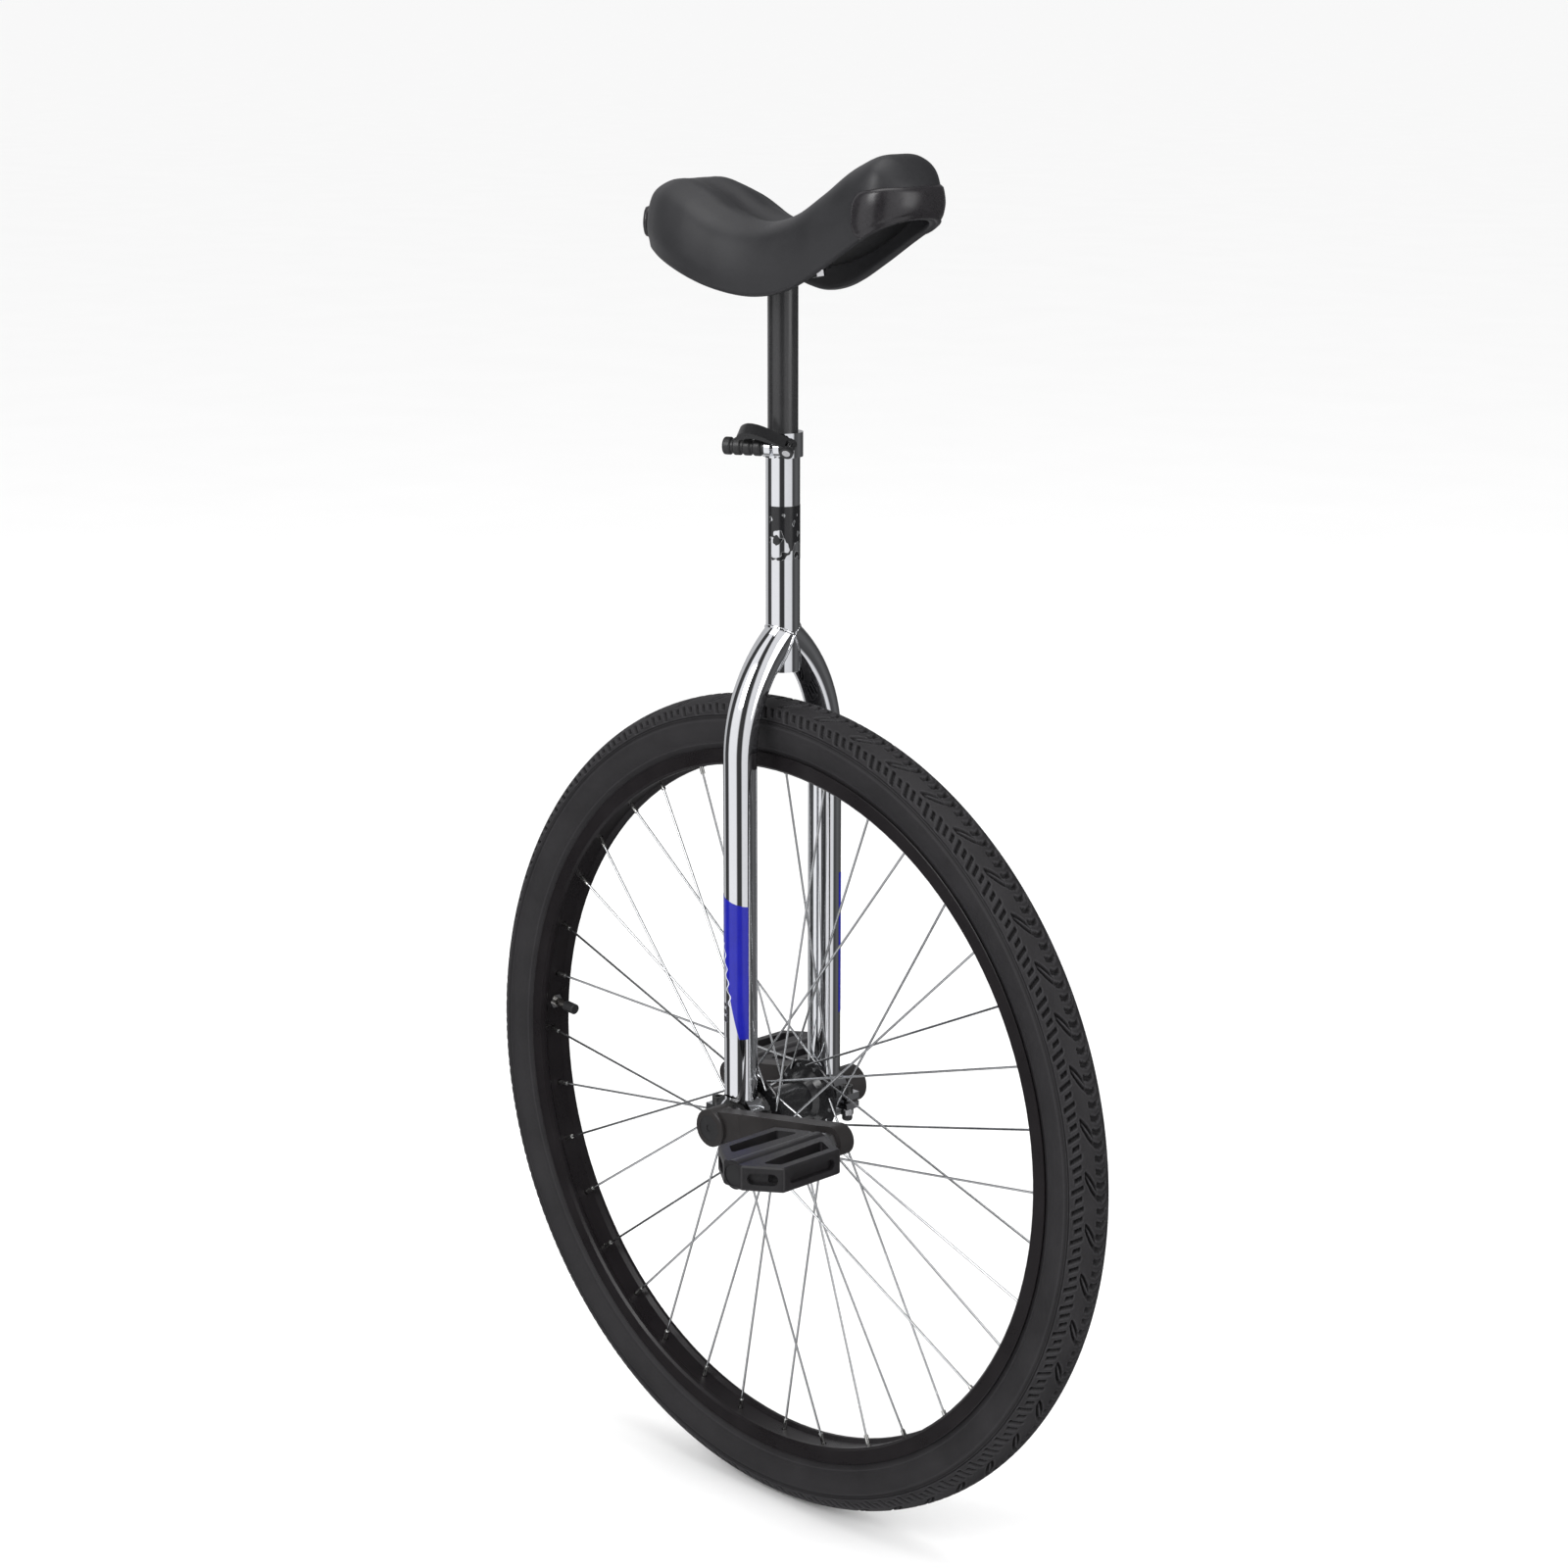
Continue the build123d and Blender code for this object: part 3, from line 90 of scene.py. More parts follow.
def spline_through(xs, ys, at):
    """A smooth cubic through the points, evaluated at the values given."""
    xs, ys, at = np.asarray(xs, float), np.asarray(ys, float), np.asarray(at, float)
    slopes = np.gradient(ys, xs)
    index = np.clip(np.searchsorted(xs, at) - 1, 0, len(xs) - 2)
    width = xs[index + 1] - xs[index]
    t = np.clip((at - xs[index]) / width, 0.0, 1.0)
    h00, h10 = 2 * t**3 - 3 * t**2 + 1, t**3 - 2 * t**2 + t
    h01, h11 = -2 * t**3 + 3 * t**2, t**3 - t**2
    from_left = h00 * ys[index] + h10 * width * slopes[index]
    return from_left + h01 * ys[index + 1] + h11 * width * slopes[index + 1]


# ---------------------------------------------------------------- materials
class Nodes:
    """A small helper that adds and joins the nodes of one material."""

    def __init__(self, name):
        self.material = bpy.data.materials.get(name) or bpy.data.materials.new(name)
        self.material.use_nodes = True
        self.tree = self.material.node_tree
        self.tree.nodes.clear()
        self.output = self.add("ShaderNodeOutputMaterial")
        self.shader = self.add("ShaderNodeBsdfPrincipled")
        self.join(self.shader.outputs[0], self.output.inputs["Surface"])
        self.place = self.add("ShaderNodeTexCoord").outputs["Object"]

    def add(self, kind, **settings):
        node = self.tree.nodes.new(kind)
        for key, value in settings.items():
            setattr(node, key, value)
        return node

    def join(self, source, target):
        self.tree.links.new(source, target)

    def noise(self, scale, detail, roughness=0.55, stretch=None):
        node = self.add("ShaderNodeTexNoise")
        node.inputs["Scale"].default_value = scale
        node.inputs["Detail"].default_value = detail
        node.inputs["Roughness"].default_value = roughness
        self.join(self.stretched(stretch), node.inputs["Vector"])
        return node.outputs["Fac"]

    def cells(self, scale, stretch=None):
        node = self.add("ShaderNodeTexVoronoi")
        node.inputs["Scale"].default_value = scale
        self.join(self.stretched(stretch), node.inputs["Vector"])
        return node.outputs["Distance"]

    def stretched(self, stretch):
        """The object's own coordinates, scaled along each axis where a stretch is given."""
        if stretch is None:
            return self.place
        node = self.add("ShaderNodeMapping")
        node.inputs["Scale"].default_value = stretch
        self.join(self.place, node.inputs["Vector"])
        return node.outputs["Vector"]

    def spread(self, source, low, high, from_low=0.3, from_high=0.7):
        """Maps a value's range, by default the middle of a noise, to low and high."""
        node = self.add("ShaderNodeMapRange")
        node.inputs["From Min"].default_value = from_low
        node.inputs["From Max"].default_value = from_high
        node.inputs["To Min"].default_value = low
        node.inputs["To Max"].default_value = high
        self.join(source, node.inputs["Value"])
        return node.outputs["Result"]

    def math(self, operation, a, b=0.0):
        """The result of an operation on two sockets or plain numbers."""
        node = self.add("ShaderNodeMath", operation=operation)
        for socket, value in zip(node.inputs, (a, b)):
            if isinstance(value, (int, float)):
                socket.default_value = value
            else:
                self.join(value, socket)
        return node.outputs[0]

    def mix(self, factor, low, high):
        """A blend of two colours, each a tuple or a socket."""
        node = self.add("ShaderNodeMix", data_type="RGBA")
        self.join(factor, node.inputs["Factor"])
        first, second = (socket for socket in node.inputs if socket.name in "AB" and socket.type == "RGBA")
        for socket, value in ((first, low), (second, high)):
            if isinstance(value, tuple):
                socket.default_value = (*value, 1.0)
            else:
                self.join(value, socket)
        return next(socket for socket in node.outputs if socket.type == "RGBA")

    def bump(self, height, strength, distance):
        node = self.add("ShaderNodeBump")
        node.inputs["Strength"].default_value = strength
        node.inputs["Distance"].default_value = distance
        self.join(height, node.inputs["Height"])
        return node.outputs["Normal"]

    def axes(self):
        """The x, y and z sockets of the object's own coordinates."""
        node = self.add("ShaderNodeSeparateXYZ")
        self.join(self.place, node.inputs[0])
        return node.outputs

    def set(self, **values):
        """Plain values for the shader, with _ in a name for each space."""
        for key, value in values.items():
            self.shader.inputs[key.replace("_", " ")].default_value = value


def shade(colour, amount):
    """A colour made darker or lighter."""
    return tuple(min(1.0, c * amount) for c in colour)


PATCH_SHARE = 0.65                # of a finish's unevenness, the rest being its fine grain
COAT_ROUGHNESS = 0.15
SMOOTHEST = 0.01                  # no finish is glossier than this


def finish_surface(name, colour, rough, metal=0.0, vary=0.12, blotch=25.0, rough_spread=0.08,
                   grain="noise", grain_scale=1800.0, grain_strength=0.25, grain_depth=0.0001,
                   stretch=None, coat=0.0, specular=0.5):
    """A finish whose colour, gloss and relief all vary at the scale of the real surface."""
    n = Nodes(name)
    patches = n.noise(blotch, 4.0)
    fine = n.noise(grain_scale * 0.35, 2.0, stretch=stretch)
    tone = n.math("ADD", n.math("MULTIPLY", patches, PATCH_SHARE), n.math("MULTIPLY", fine, 1 - PATCH_SHARE))
    colours = n.mix(n.spread(tone, 0.0, 1.0), shade(colour, 1 - vary), shade(colour, 1 + vary))
    n.join(colours, n.shader.inputs["Base Color"])
    gloss = n.spread(tone, max(SMOOTHEST, rough - rough_spread), rough + rough_spread)
    n.join(gloss, n.shader.inputs["Roughness"])
    if grain == "cells":
        height = n.cells(grain_scale, stretch=stretch)
    else:
        height = n.noise(grain_scale, 2.0, stretch=stretch)
    n.join(n.bump(height, grain_strength, grain_depth), n.shader.inputs["Normal"])
    n.set(Metallic=metal, Specular_IOR_Level=specular, Coat_Weight=coat, Coat_Roughness=COAT_ROUGHNESS)
    return n


# one finish for each material slot of the record; the brass parts are taken as nickel-plated
FINISHES = {
    "tyre": dict(colour=(0.0175, 0.0165, 0.0180), rough=0.56, vary=0.30, blotch=22, grain_scale=1500,
                 grain_strength=0.40, specular=0.22),
    "butyl": dict(colour=(0.028, 0.028, 0.028), rough=0.7, vary=0.2),
    "black_rim": dict(colour=(0.0085, 0.0070, 0.0080), rough=0.32, vary=0.2, grain_scale=2500,
                      grain_strength=0.08, specular=0.25),
    "brass": dict(colour=(0.60, 0.58, 0.54), rough=0.22, metal=1.0),
    "bright_steel": dict(colour=(0.72, 0.72, 0.73), rough=0.16, metal=1.0, rough_spread=0.05,
                         grain_strength=0.08),
    "black_plastic": dict(colour=(0.014, 0.014, 0.015), rough=0.42, vary=0.2, grain_strength=0.12),
    "spoke_steel": dict(colour=(0.60, 0.61, 0.62), rough=0.22, metal=1.0, vary=0.1, grain_strength=0.05),
    "nipple_brass": dict(colour=(0.62, 0.62, 0.60), rough=0.24, metal=1.0),
    "black_steel": dict(colour=(0.012, 0.012, 0.013), rough=0.22, vary=0.2, grain_strength=0.06, coat=0.4),
    "axle_steel": dict(colour=(0.40, 0.40, 0.41), rough=0.32, metal=1.0),
    "bearing_steel": dict(colour=(0.62, 0.62, 0.63), rough=0.12, metal=1.0, rough_spread=0.04,
                          grain_strength=0.04),
    "cage_plastic": dict(colour=(0.62, 0.58, 0.46), rough=0.5),
    "chrome": dict(colour=(0.80, 0.81, 0.83), rough=0.055, metal=1.0, vary=0.03, rough_spread=0.03,
                   grain_scale=900, grain_strength=0.015, grain_depth=0.00005),
    "black_crank": dict(colour=(0.0215, 0.0195, 0.0195), rough=0.40, vary=0.25, grain_scale=2600,
                        grain_strength=0.20, specular=0.30),
    "pedal_resin": dict(colour=(0.0120, 0.0112, 0.0125), rough=0.36, vary=0.3, grain="cells",
                        grain_scale=1100, grain_strength=0.20, specular=0.5),
    "black_bolt": dict(colour=(0.015, 0.015, 0.015), rough=0.3, vary=0.3, grain_strength=0.1),
    "black_lever": dict(colour=(0.016, 0.016, 0.017), rough=0.33, vary=0.2, grain_strength=0.1),
    "black_post": dict(colour=(0.022, 0.022, 0.023), rough=0.26, vary=0.12, stretch=(1.0, 1.0, 0.06),
                       grain_scale=1400, grain_strength=0.08, coat=0.12),
    "saddle_base": dict(colour=(0.010, 0.010, 0.011), rough=0.4, vary=0.25, grain="cells", grain_scale=900),
    "foam": dict(colour=(0.05, 0.05, 0.05), rough=0.9, vary=0.3, grain="cells", grain_scale=700,
                 grain_strength=0.6),
    "saddle_cover": dict(colour=(0.0205, 0.0205, 0.0225), rough=0.44, vary=0.14, blotch=30, grain="cells",
                         grain_scale=1300, grain_strength=0.20, specular=0.36),
    "bumper_plastic": dict(colour=(0.0165, 0.0150, 0.0170), rough=0.29, vary=0.2, blotch=40, grain="cells",
                           grain_scale=1000, grain_strength=0.05, specular=0.5),
}


# painted shade for the tyre's grooves
PAINTED_GROOVE_SHADE_RUBBER = (0.0030, 0.0028, 0.0030)
# painted highlight, along with some wear, for the blocks' edges
EDGE_WEAR_AND_PAINTED_HIGHLIGHT_RUBBER = (0.050, 0.049, 0.053)


def tyre_rubber():
    """Rubber with painted shade that darkens the grooves, and a painted highlight, along with wear, that
    pales the blocks' edges.
    """
    n = finish_surface("tyre", **FINISHES["tyre"])
    plain = n.shader.inputs["Base Color"].links[0].from_socket
    # 0.5 on a flat surface, less in a hollow and more on an edge
    point = n.add("ShaderNodeNewGeometry").outputs["Pointiness"]
    # painted shade: the grooves are made darker, as if less light reached them
    painted_groove_shade = n.spread(point, 1.0, 0.0, 0.43, 0.495)
    # painted highlight with some wear: the blocks' edges are made paler
    edge = n.spread(point, 0.0, 1.0, 0.505, 0.60)
    colours = n.mix(painted_groove_shade, plain, PAINTED_GROOVE_SHADE_RUBBER)
    n.join(n.mix(edge, colours, EDGE_WEAR_AND_PAINTED_HIGHLIGHT_RUBBER), n.shader.inputs["Base Color"])
    return n.material


finishes = {slot: finish_surface(slot, **settings).material
            for slot, settings in FINISHES.items() if slot != "tyre"}
finishes["tyre"] = tyre_rubber()


def band(n, value, middle, half_width, edge=0.0003):
    """1 inside a band about a value, 0 outside it, with a thin soft edge."""
    distance = n.math("ABSOLUTE", n.math("SUBTRACT", value, middle))
    return n.spread(distance, 1.0, 0.0, half_width - edge, half_width + edge)


def half_line(n, value, start, edge):
    """1 above a value, 0 below it, with a soft edge."""
    return n.spread(value, 0.0, 1.0, start - edge, start + edge)


BARE_METAL = (0.78, 0.79, 0.81)
PALE_INK = (0.72, 0.74, 0.80)
DARK_INK = (0.008, 0.008, 0.010)


def over_chrome(n, printed, colours):
    """Printed colours where the factor is 1, and bright metal showing through where it is 0."""
    n.join(n.mix(printed, BARE_METAL, colours), n.shader.inputs["Base Color"])
    n.join(n.math("SUBTRACT", 1.0, printed), n.shader.inputs["Metallic"])
    n.join(n.spread(printed, 0.06, 0.2, 0.0, 1.0), n.shader.inputs["Roughness"])


def leg_film():
    """Blue print that narrows to its foot, with a wavy pale line and dark blocks beside it."""
    n = finish_surface("blue_decal", colour=(0.008, 0.010, 0.30), rough=0.2, vary=0.12, blotch=60,
                       grain_strength=0.03)
    x, _, z = n.axes()
    blue = n.shader.inputs["Base Color"].links[0].from_socket
    height = n.math("SUBTRACT", z, HUB_Z)
    # the blue ends at a slanting line that leaves bare metal towards the rear
    slope = n.math("ADD", height, n.math("MULTIPLY", x, 4.6))
    in_blue = half_line(n, slope, 0.118, 0.0010)
    # a thin pale line that sways and drifts to the rear as it rises
    sway = n.math("MULTIPLY", n.math("SINE", n.math("MULTIPLY", height, 520.0)), 0.0016)
    drift = n.math("MULTIPLY", n.math("SUBTRACT", height, 0.125), -0.16)
    line = n.math("SUBTRACT", x, n.math("ADD", n.math("SUBTRACT", sway, 0.0015), drift))
    wave = n.math("MULTIPLY", band(n, line, 0.0, 0.0005), band(n, height, 0.130, 0.028))
    # a dark block near the film's foot, cut across by two gaps
    foot = n.math("MULTIPLY", band(n, height, 0.097, 0.0085), band(n, x, -0.0062, 0.0042))
    gaps = n.math("MAXIMUM", band(n, height, 0.101, 0.0012), band(n, height, 0.0945, 0.0010))
    foot = n.math("MULTIPLY", foot, n.math("SUBTRACT", 1.0, gaps))
    colours = n.mix(wave, blue, PALE_INK)
    colours = n.mix(foot, colours, DARK_INK)
    over_chrome(n, n.math("MAXIMUM", n.math("MAXIMUM", in_blue, wave), foot), colours)
    return n.material


def steerer_film():
    """Black print with ragged shapes of bare metal, thinning out towards the foot."""
    n = finish_surface("black_decal", colour=(0.010, 0.010, 0.011), rough=0.22, vary=0.2, blotch=60,
                       grain_strength=0.03)
    z = n.axes()["Z"]
    black = n.shader.inputs["Base Color"].links[0].from_socket
    height = n.math("SUBTRACT", z, HUB_Z)
    shapes = n.noise(150.0, 1.5, 0.4, (1.0, 1.0, 0.75))
    # added to the noise, so that nearly all is printed at the top of the film and less below
    fade = n.spread(height, -0.06, 0.20, 0.487, 0.525)
    printed = half_line(n, n.math("ADD", shapes, fade), 0.50, 0.012)
    over_chrome(n, printed, black)
    return n.material


finishes["blue_decal"] = leg_film()
finishes["black_decal"] = steerer_film()
for node_name, node in frame["nodes"].items():
    finish = finishes[NODE_SLOT[node_name]]
    if node.data.materials:
        for index in range(len(node.data.materials)):
            node.data.materials[index] = finish
    else:
        node.data.materials.append(finish)


# ---------------------------------------------------------------- tyre
TYRE_RADIUS = HUB_Z               # over the tread
SECTION_RADIUS = 0.0226           # of the tyre's round cross-section
SECTION_CENTRE = TYRE_RADIUS - SECTION_RADIUS
RIM_EDGE = 0.3162
BEAD_Y = 0.0149                   # half the tyre's width at the rim's edge
SIDE_RADII = (RIM_EDGE, 0.3175, 0.3195, 0.3205, 0.3215, 0.3235, 0.3270, 0.3310, 0.3345, 0.3375, 0.3395,
              0.3408, 0.3418, 0.3428, 0.3434)
# radius, half width and height of the raised rings on the sidewall
SIDE_RIDGES = ((0.3205, 0.0011, 0.0007), (0.3408, 0.0010, 0.0005))
INNER_RADIUS, INNER_Y = 0.3108, 0.0146
PITCH_COUNT = 52                  # repeats of the tread pattern round the tyre
STEPS_PER_PITCH = 38
TREAD_ANGLE = math.radians(76)    # from the crown to the tread's edge
TREAD_ROWS = 96
TREAD_DEPTH = 0.0032
CROWN_HALF_WIDTH, LONG_HALF_WIDTH, BAR_HALF_WIDTH = 0.0021, 0.0016, 0.0018     # of the grooves
# distances from the crown over the curve of the tread, unless a line says otherwise
SHOULDER_LINE = 0.0291
CROWN_NOTCHES = 4                 # in one repeat
CROWN_NOTCH_END = 0.0054
CROWN_SLANT = 0.4                 # along the repeat for each metre from the crown
LOZENGE_INNER, LOZENGE_OUTER = 0.0060, 0.0150
LOZENGE_REACH = 0.0105            # of the curve that both long grooves follow
LOZENGE_START, LOZENGE_RUN = 0.0330, 0.0185       # its place along the repeat, and how far it runs
LOZENGE_TIP, LOZENGE_SWELL = 0.0012, 0.0030       # half its width at the tips, and what the middle adds
# place along the repeat, inner end and outer end of each bar across the shoulder
SHOULDER_BARS = ((0.0030, 0.0168, 0.0268), (0.0118, 0.0180, 0.0238), (0.0206, 0.0168, 0.0268),
                 (0.0294, 0.0180, 0.0238), (0.0382, 0.0176, 0.0252))
SHOULDER_MIDDLE = 0.0215
BAR_SLANT = 0.55                  # the other way, for each metre from the shoulder's middle


def groove(distance, half_width, edge=0.00045):
    """1 in the middle of a groove, 0 outside it."""
    return 1.0 - smoothstep(half_width - edge, half_width + edge, np.abs(distance))


def between(value, low, high, edge=0.00045):
    """1 between two values, 0 outside them."""
    return smoothstep(low - edge, low + edge, value) * (1 - smoothstep(high - edge, high + edge, value))


def tread_relief(along, across):
    """Depth of the pattern, 0 on the blocks and 1 in the grooves.

    along runs from 0 to 1 through one repeat; across is the distance from the crown in metres.
    """
    pitch = 2 * math.pi * TYRE_RADIUS / PITCH_COUNT
    u = along * pitch
    v = across

    def from_line(start):
        return (u - start + pitch / 2) % pitch - pitch / 2

    # crown blocks, parted by short slanted grooves
    deep = np.zeros_like(u)
    for step in range(CROWN_NOTCHES):
        line = from_line(step * pitch / CROWN_NOTCHES + CROWN_SLANT * v)
        deep = np.maximum(deep, groove(line, CROWN_HALF_WIDTH) * between(v, -1.0, CROWN_NOTCH_END))
    # two long slanted grooves that close up round a raised lozenge
    share = np.clip((LOZENGE_OUTER - v) / LOZENGE_REACH, 0.0, 1.0)
    half_gap = LOZENGE_TIP + LOZENGE_SWELL * np.sin(math.pi * share) ** 0.7
    middle = LOZENGE_START - LOZENGE_RUN * share
    for side in (-1, 1):
        line = from_line(middle + side * half_gap)
        deep = np.maximum(deep, groove(line, LONG_HALF_WIDTH) * between(v, LOZENGE_INNER, LOZENGE_OUTER))
    # slanted bars across the shoulder, long and short by turns and none of them joined
    for start, inner, outer in SHOULDER_BARS:
        line = from_line(start - BAR_SLANT * (v - SHOULDER_MIDDLE))
        deep = np.maximum(deep, groove(line, BAR_HALF_WIDTH) * between(v, inner, outer))
    # the edge of the shoulder
    return np.maximum(deep, groove(v - SHOULDER_LINE, 0.0005) * 0.5)


def sidewall_width(radius):
    """Half the tyre's width at a radius, with the raised rings."""
    if radius <= SECTION_CENTRE:
        share = np.clip((radius - RIM_EDGE) / (SECTION_CENTRE - RIM_EDGE), 0, 1)
        width = BEAD_Y + (SECTION_RADIUS - BEAD_Y) * math.sin(share * math.pi / 2) ** 0.9
    else:
        width = math.sqrt(SECTION_RADIUS**2 - (radius - SECTION_CENTRE) ** 2)
        # the wall draws in a little on its way to the shoulder
        width -= 0.0008 * float(smoothstep(0.3385, 0.343, radius))
    ridge = sum(height * (1 - min(1.0, abs(radius - middle) / half_width))
                for middle, half_width, height in SIDE_RIDGES)
    return width + ridge


def build_tyre():
    """The whole tyre as a grid: steps round the wheel, and columns from the right bead to the left one."""
    steps = PITCH_COUNT * STEPS_PER_PITCH
    theta = np.arange(steps) * 2 * math.pi / steps
    along = (np.arange(steps) % STEPS_PER_PITCH) / STEPS_PER_PITCH
    level = np.ones(steps)
    columns = [(level * radius, level * -sidewall_width(radius)) for radius in SIDE_RADII]
    for angle in np.linspace(-TREAD_ANGLE, TREAD_ANGLE, TREAD_ROWS):
        across = level * abs(angle) * SECTION_RADIUS
        # the pattern's two halves are half a repeat out of step
        shift = along if angle < 0 else (along + 0.5) % 1.0
        depth = tread_relief(shift, across) * TREAD_DEPTH
        # the pattern fades into the sidewall past the shoulder line
        depth = depth * (1 - 0.45 * smoothstep(0.0285, 0.0300, across))
        radius = SECTION_CENTRE + (SECTION_RADIUS - depth) * math.cos(angle)
        columns.append((radius, (SECTION_RADIUS - depth) * math.sin(angle)))
    columns += [(level * radius, level * sidewall_width(radius)) for radius in reversed(SIDE_RADII)]
    # the inner side, hidden by the rim
    columns += [(level * INNER_RADIUS, level * y) for y in (INNER_Y, -INNER_Y)]
    radius, y = np.array(columns).transpose(1, 2, 0)
    x = radius * np.cos(theta)[:, None]
    z = radius * np.sin(theta)[:, None] + HUB_Z
    points = np.stack([x, y, z], -1).reshape(-1, 3)
    faces = grid_faces(steps, len(columns), True, True)
    tyre = mesh_object("tyre_with_tread", points, faces, finishes["tyre"])
    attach(tyre, "wheel")
    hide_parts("tyre")


build_tyre()


# ---------------------------------------------------------------- saddle
# cross-sections of the saddle in mm: x, top and foot over the hub's height, and half width
SADDLE = np.array((
    (-132, 764, 744, 26), (-121, 782, 738, 42), (-100, 788, 729, 54), (-65, 781, 716, 61),
    (-28, 765, 705, 58), (10, 758, 701, 50), (45, 767, 708, 45), (80, 788, 726, 43),
    (110, 808, 744, 42), (138, 815, 760, 40), (157, 801, 770, 32),
), float)
NOSE_X, TAIL_X = 157.0, -132.0    # mm, as is all down to HEM_DROP
END_LENGTH = 34.0                 # of the closing stretch at both tips
CREST_SLIDE = 7.0                 # how much further back the dip and the crests lie than in the table
CHANNEL_DEPTH, CHANNEL_WIDTH = 3.2, 11.0
RIDGE_RISE, RIDGE_Y, RIDGE_WIDTH = 1.2, 21.0, 8.0
SKIRT = 8.0                       # from the outer skin to the hollow side
HEM_DROP = 1.6
# one cross-section from foot to foot, as shares of its half width and of its height
OUTLINE_ACROSS = (-0.93, -1.0, -0.86, -0.48, 0.0, 0.48, 0.86, 1.0, 0.93)
OUTLINE_UP = (0.0, 0.35, 0.78, 0.97, 1.0, 0.97, 0.78, 0.35, 0.0)


def saddle_measure(column, x):
    """A column of the saddle's table at a station x, all in mm."""
    return float(spline_through(SADDLE[:, 0], SADDLE[:, column], [x])[0])


def end_taper(x, inset):
    """How far the section has closed towards the nose and the tail: 1 in the middle, 0 at both tips."""
    nose, tail = NOSE_X - inset, TAIL_X + inset
    forward = np.clip((x - (nose - END_LENGTH)) / END_LENGTH, 0, 1)
    backward = np.clip(((tail + END_LENGTH) - x) / END_LENGTH, 0, 1)
    return (1 - forward**3.4) ** 0.5 * (1 - backward**3.0) ** 0.5


def saddle_section(x, share, inset=0.0):
    """y and z of the saddle's skin, mm, at a station x and at shares 0 to 1 from one foot to the other."""
    slide = CREST_SLIDE * math.sin(math.pi * (x - TAIL_X) / (NOSE_X - TAIL_X))
    top = saddle_measure(1, x + slide)
    foot = saddle_measure(2, x)
    half = saddle_measure(3, x)
    taper = float(end_taper(x, inset))
    wide = half + 5.0 * (1 - taper) * (abs(x) > 100)
    width = max(0.0, (wide - inset) * taper)
    rise = (top - inset - foot) * (0.42 + 0.58 * taper**0.8)
    knots = np.linspace(0, 1, len(OUTLINE_ACROSS))
    across = spline_through(knots, OUTLINE_ACROSS, share) * width
    up = spline_through(knots, OUTLINE_UP, share) * rise
    z = foot + up
    if inset == 0.0:
        # a shallow channel along the middle of the rear half, with a soft ridge on each side
        fade = smoothstep(-118, -80, x) * (1 - smoothstep(-12, 30, x)) * (up > 0.5 * rise)
        z = z - CHANNEL_DEPTH * fade * np.exp(-((across / CHANNEL_WIDTH) ** 2))
        z = z + RIDGE_RISE * fade * np.exp(-(((np.abs(across) - RIDGE_Y) / RIDGE_WIDTH) ** 2))
    return across, z


def saddle_stations(inset, count):
    """Stations from tail to nose, closer together at both tips."""
    t = np.linspace(0, 1, count)
    eased = t - 0.92 * np.sin(2 * math.pi * t) / (2 * math.pi)
    return (TAIL_X + inset) + eased * (NOSE_X - TAIL_X - 2 * inset)


def hem(start, end):
    """Three points that bow down between the outer skin and the hollow side."""
    (x0, y0, z0), (x1, y1, z1) = start, end
    return [(x0 + (x1 - x0) * step, y0 + (y1 - y0) * step,
             z0 + (z1 - z0) * step - HEM_DROP * math.sin(math.pi * step)) for step in (0.15, 0.5, 0.85)]


def build_saddle_skin():
    """The padded cover: a closed skin that is crowned on top and hollow below."""
    stations = 150
    outer_share = np.linspace(0, 1, 61)
    inner_share = np.linspace(1, 0, 41)
    rings = []
    for outer_x, inner_x in zip(saddle_stations(0.0, stations), saddle_stations(SKIRT, stations)):
        outer = [(outer_x, y, z) for y, z in zip(*saddle_section(outer_x, outer_share))]
        inner = [(inner_x, y, z) for y, z in zip(*saddle_section(inner_x, inner_share, SKIRT))]
        rings.append(outer + hem(outer[-1], inner[0]) + inner + hem(inner[-1], outer[0]))
    points = np.array(rings, float) / 1000.0
    points[:, :, 2] += HUB_Z
    rows, columns = points.shape[:2]
    padding = {tuple(np.round(point, 6)) for ring in points for point in ring[2:outer_share.size - 2]}
    skin = mesh_object("saddle_skin", points.reshape(-1, 3), grid_faces(rows, columns, False, True),
                       finishes["saddle_cover"], merge=0.00002)
    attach(skin, "saddle_post")
    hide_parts("saddle_cover", "saddle_foam")
    fill_padding(skin, padding)
    return skin


FILL_FRAMES = 20
FILL_PRESSURE = 4.0
FILL_LIMIT = 0.0018               # the padding's skin never moves further than this


def coordinates(mesh):
    """A mesh's vertices as rows of x, y and z."""
    values = np.empty(len(mesh.vertices) * 3)
    mesh.vertices.foreach_get("co", values)
    return values.reshape(-1, 3)


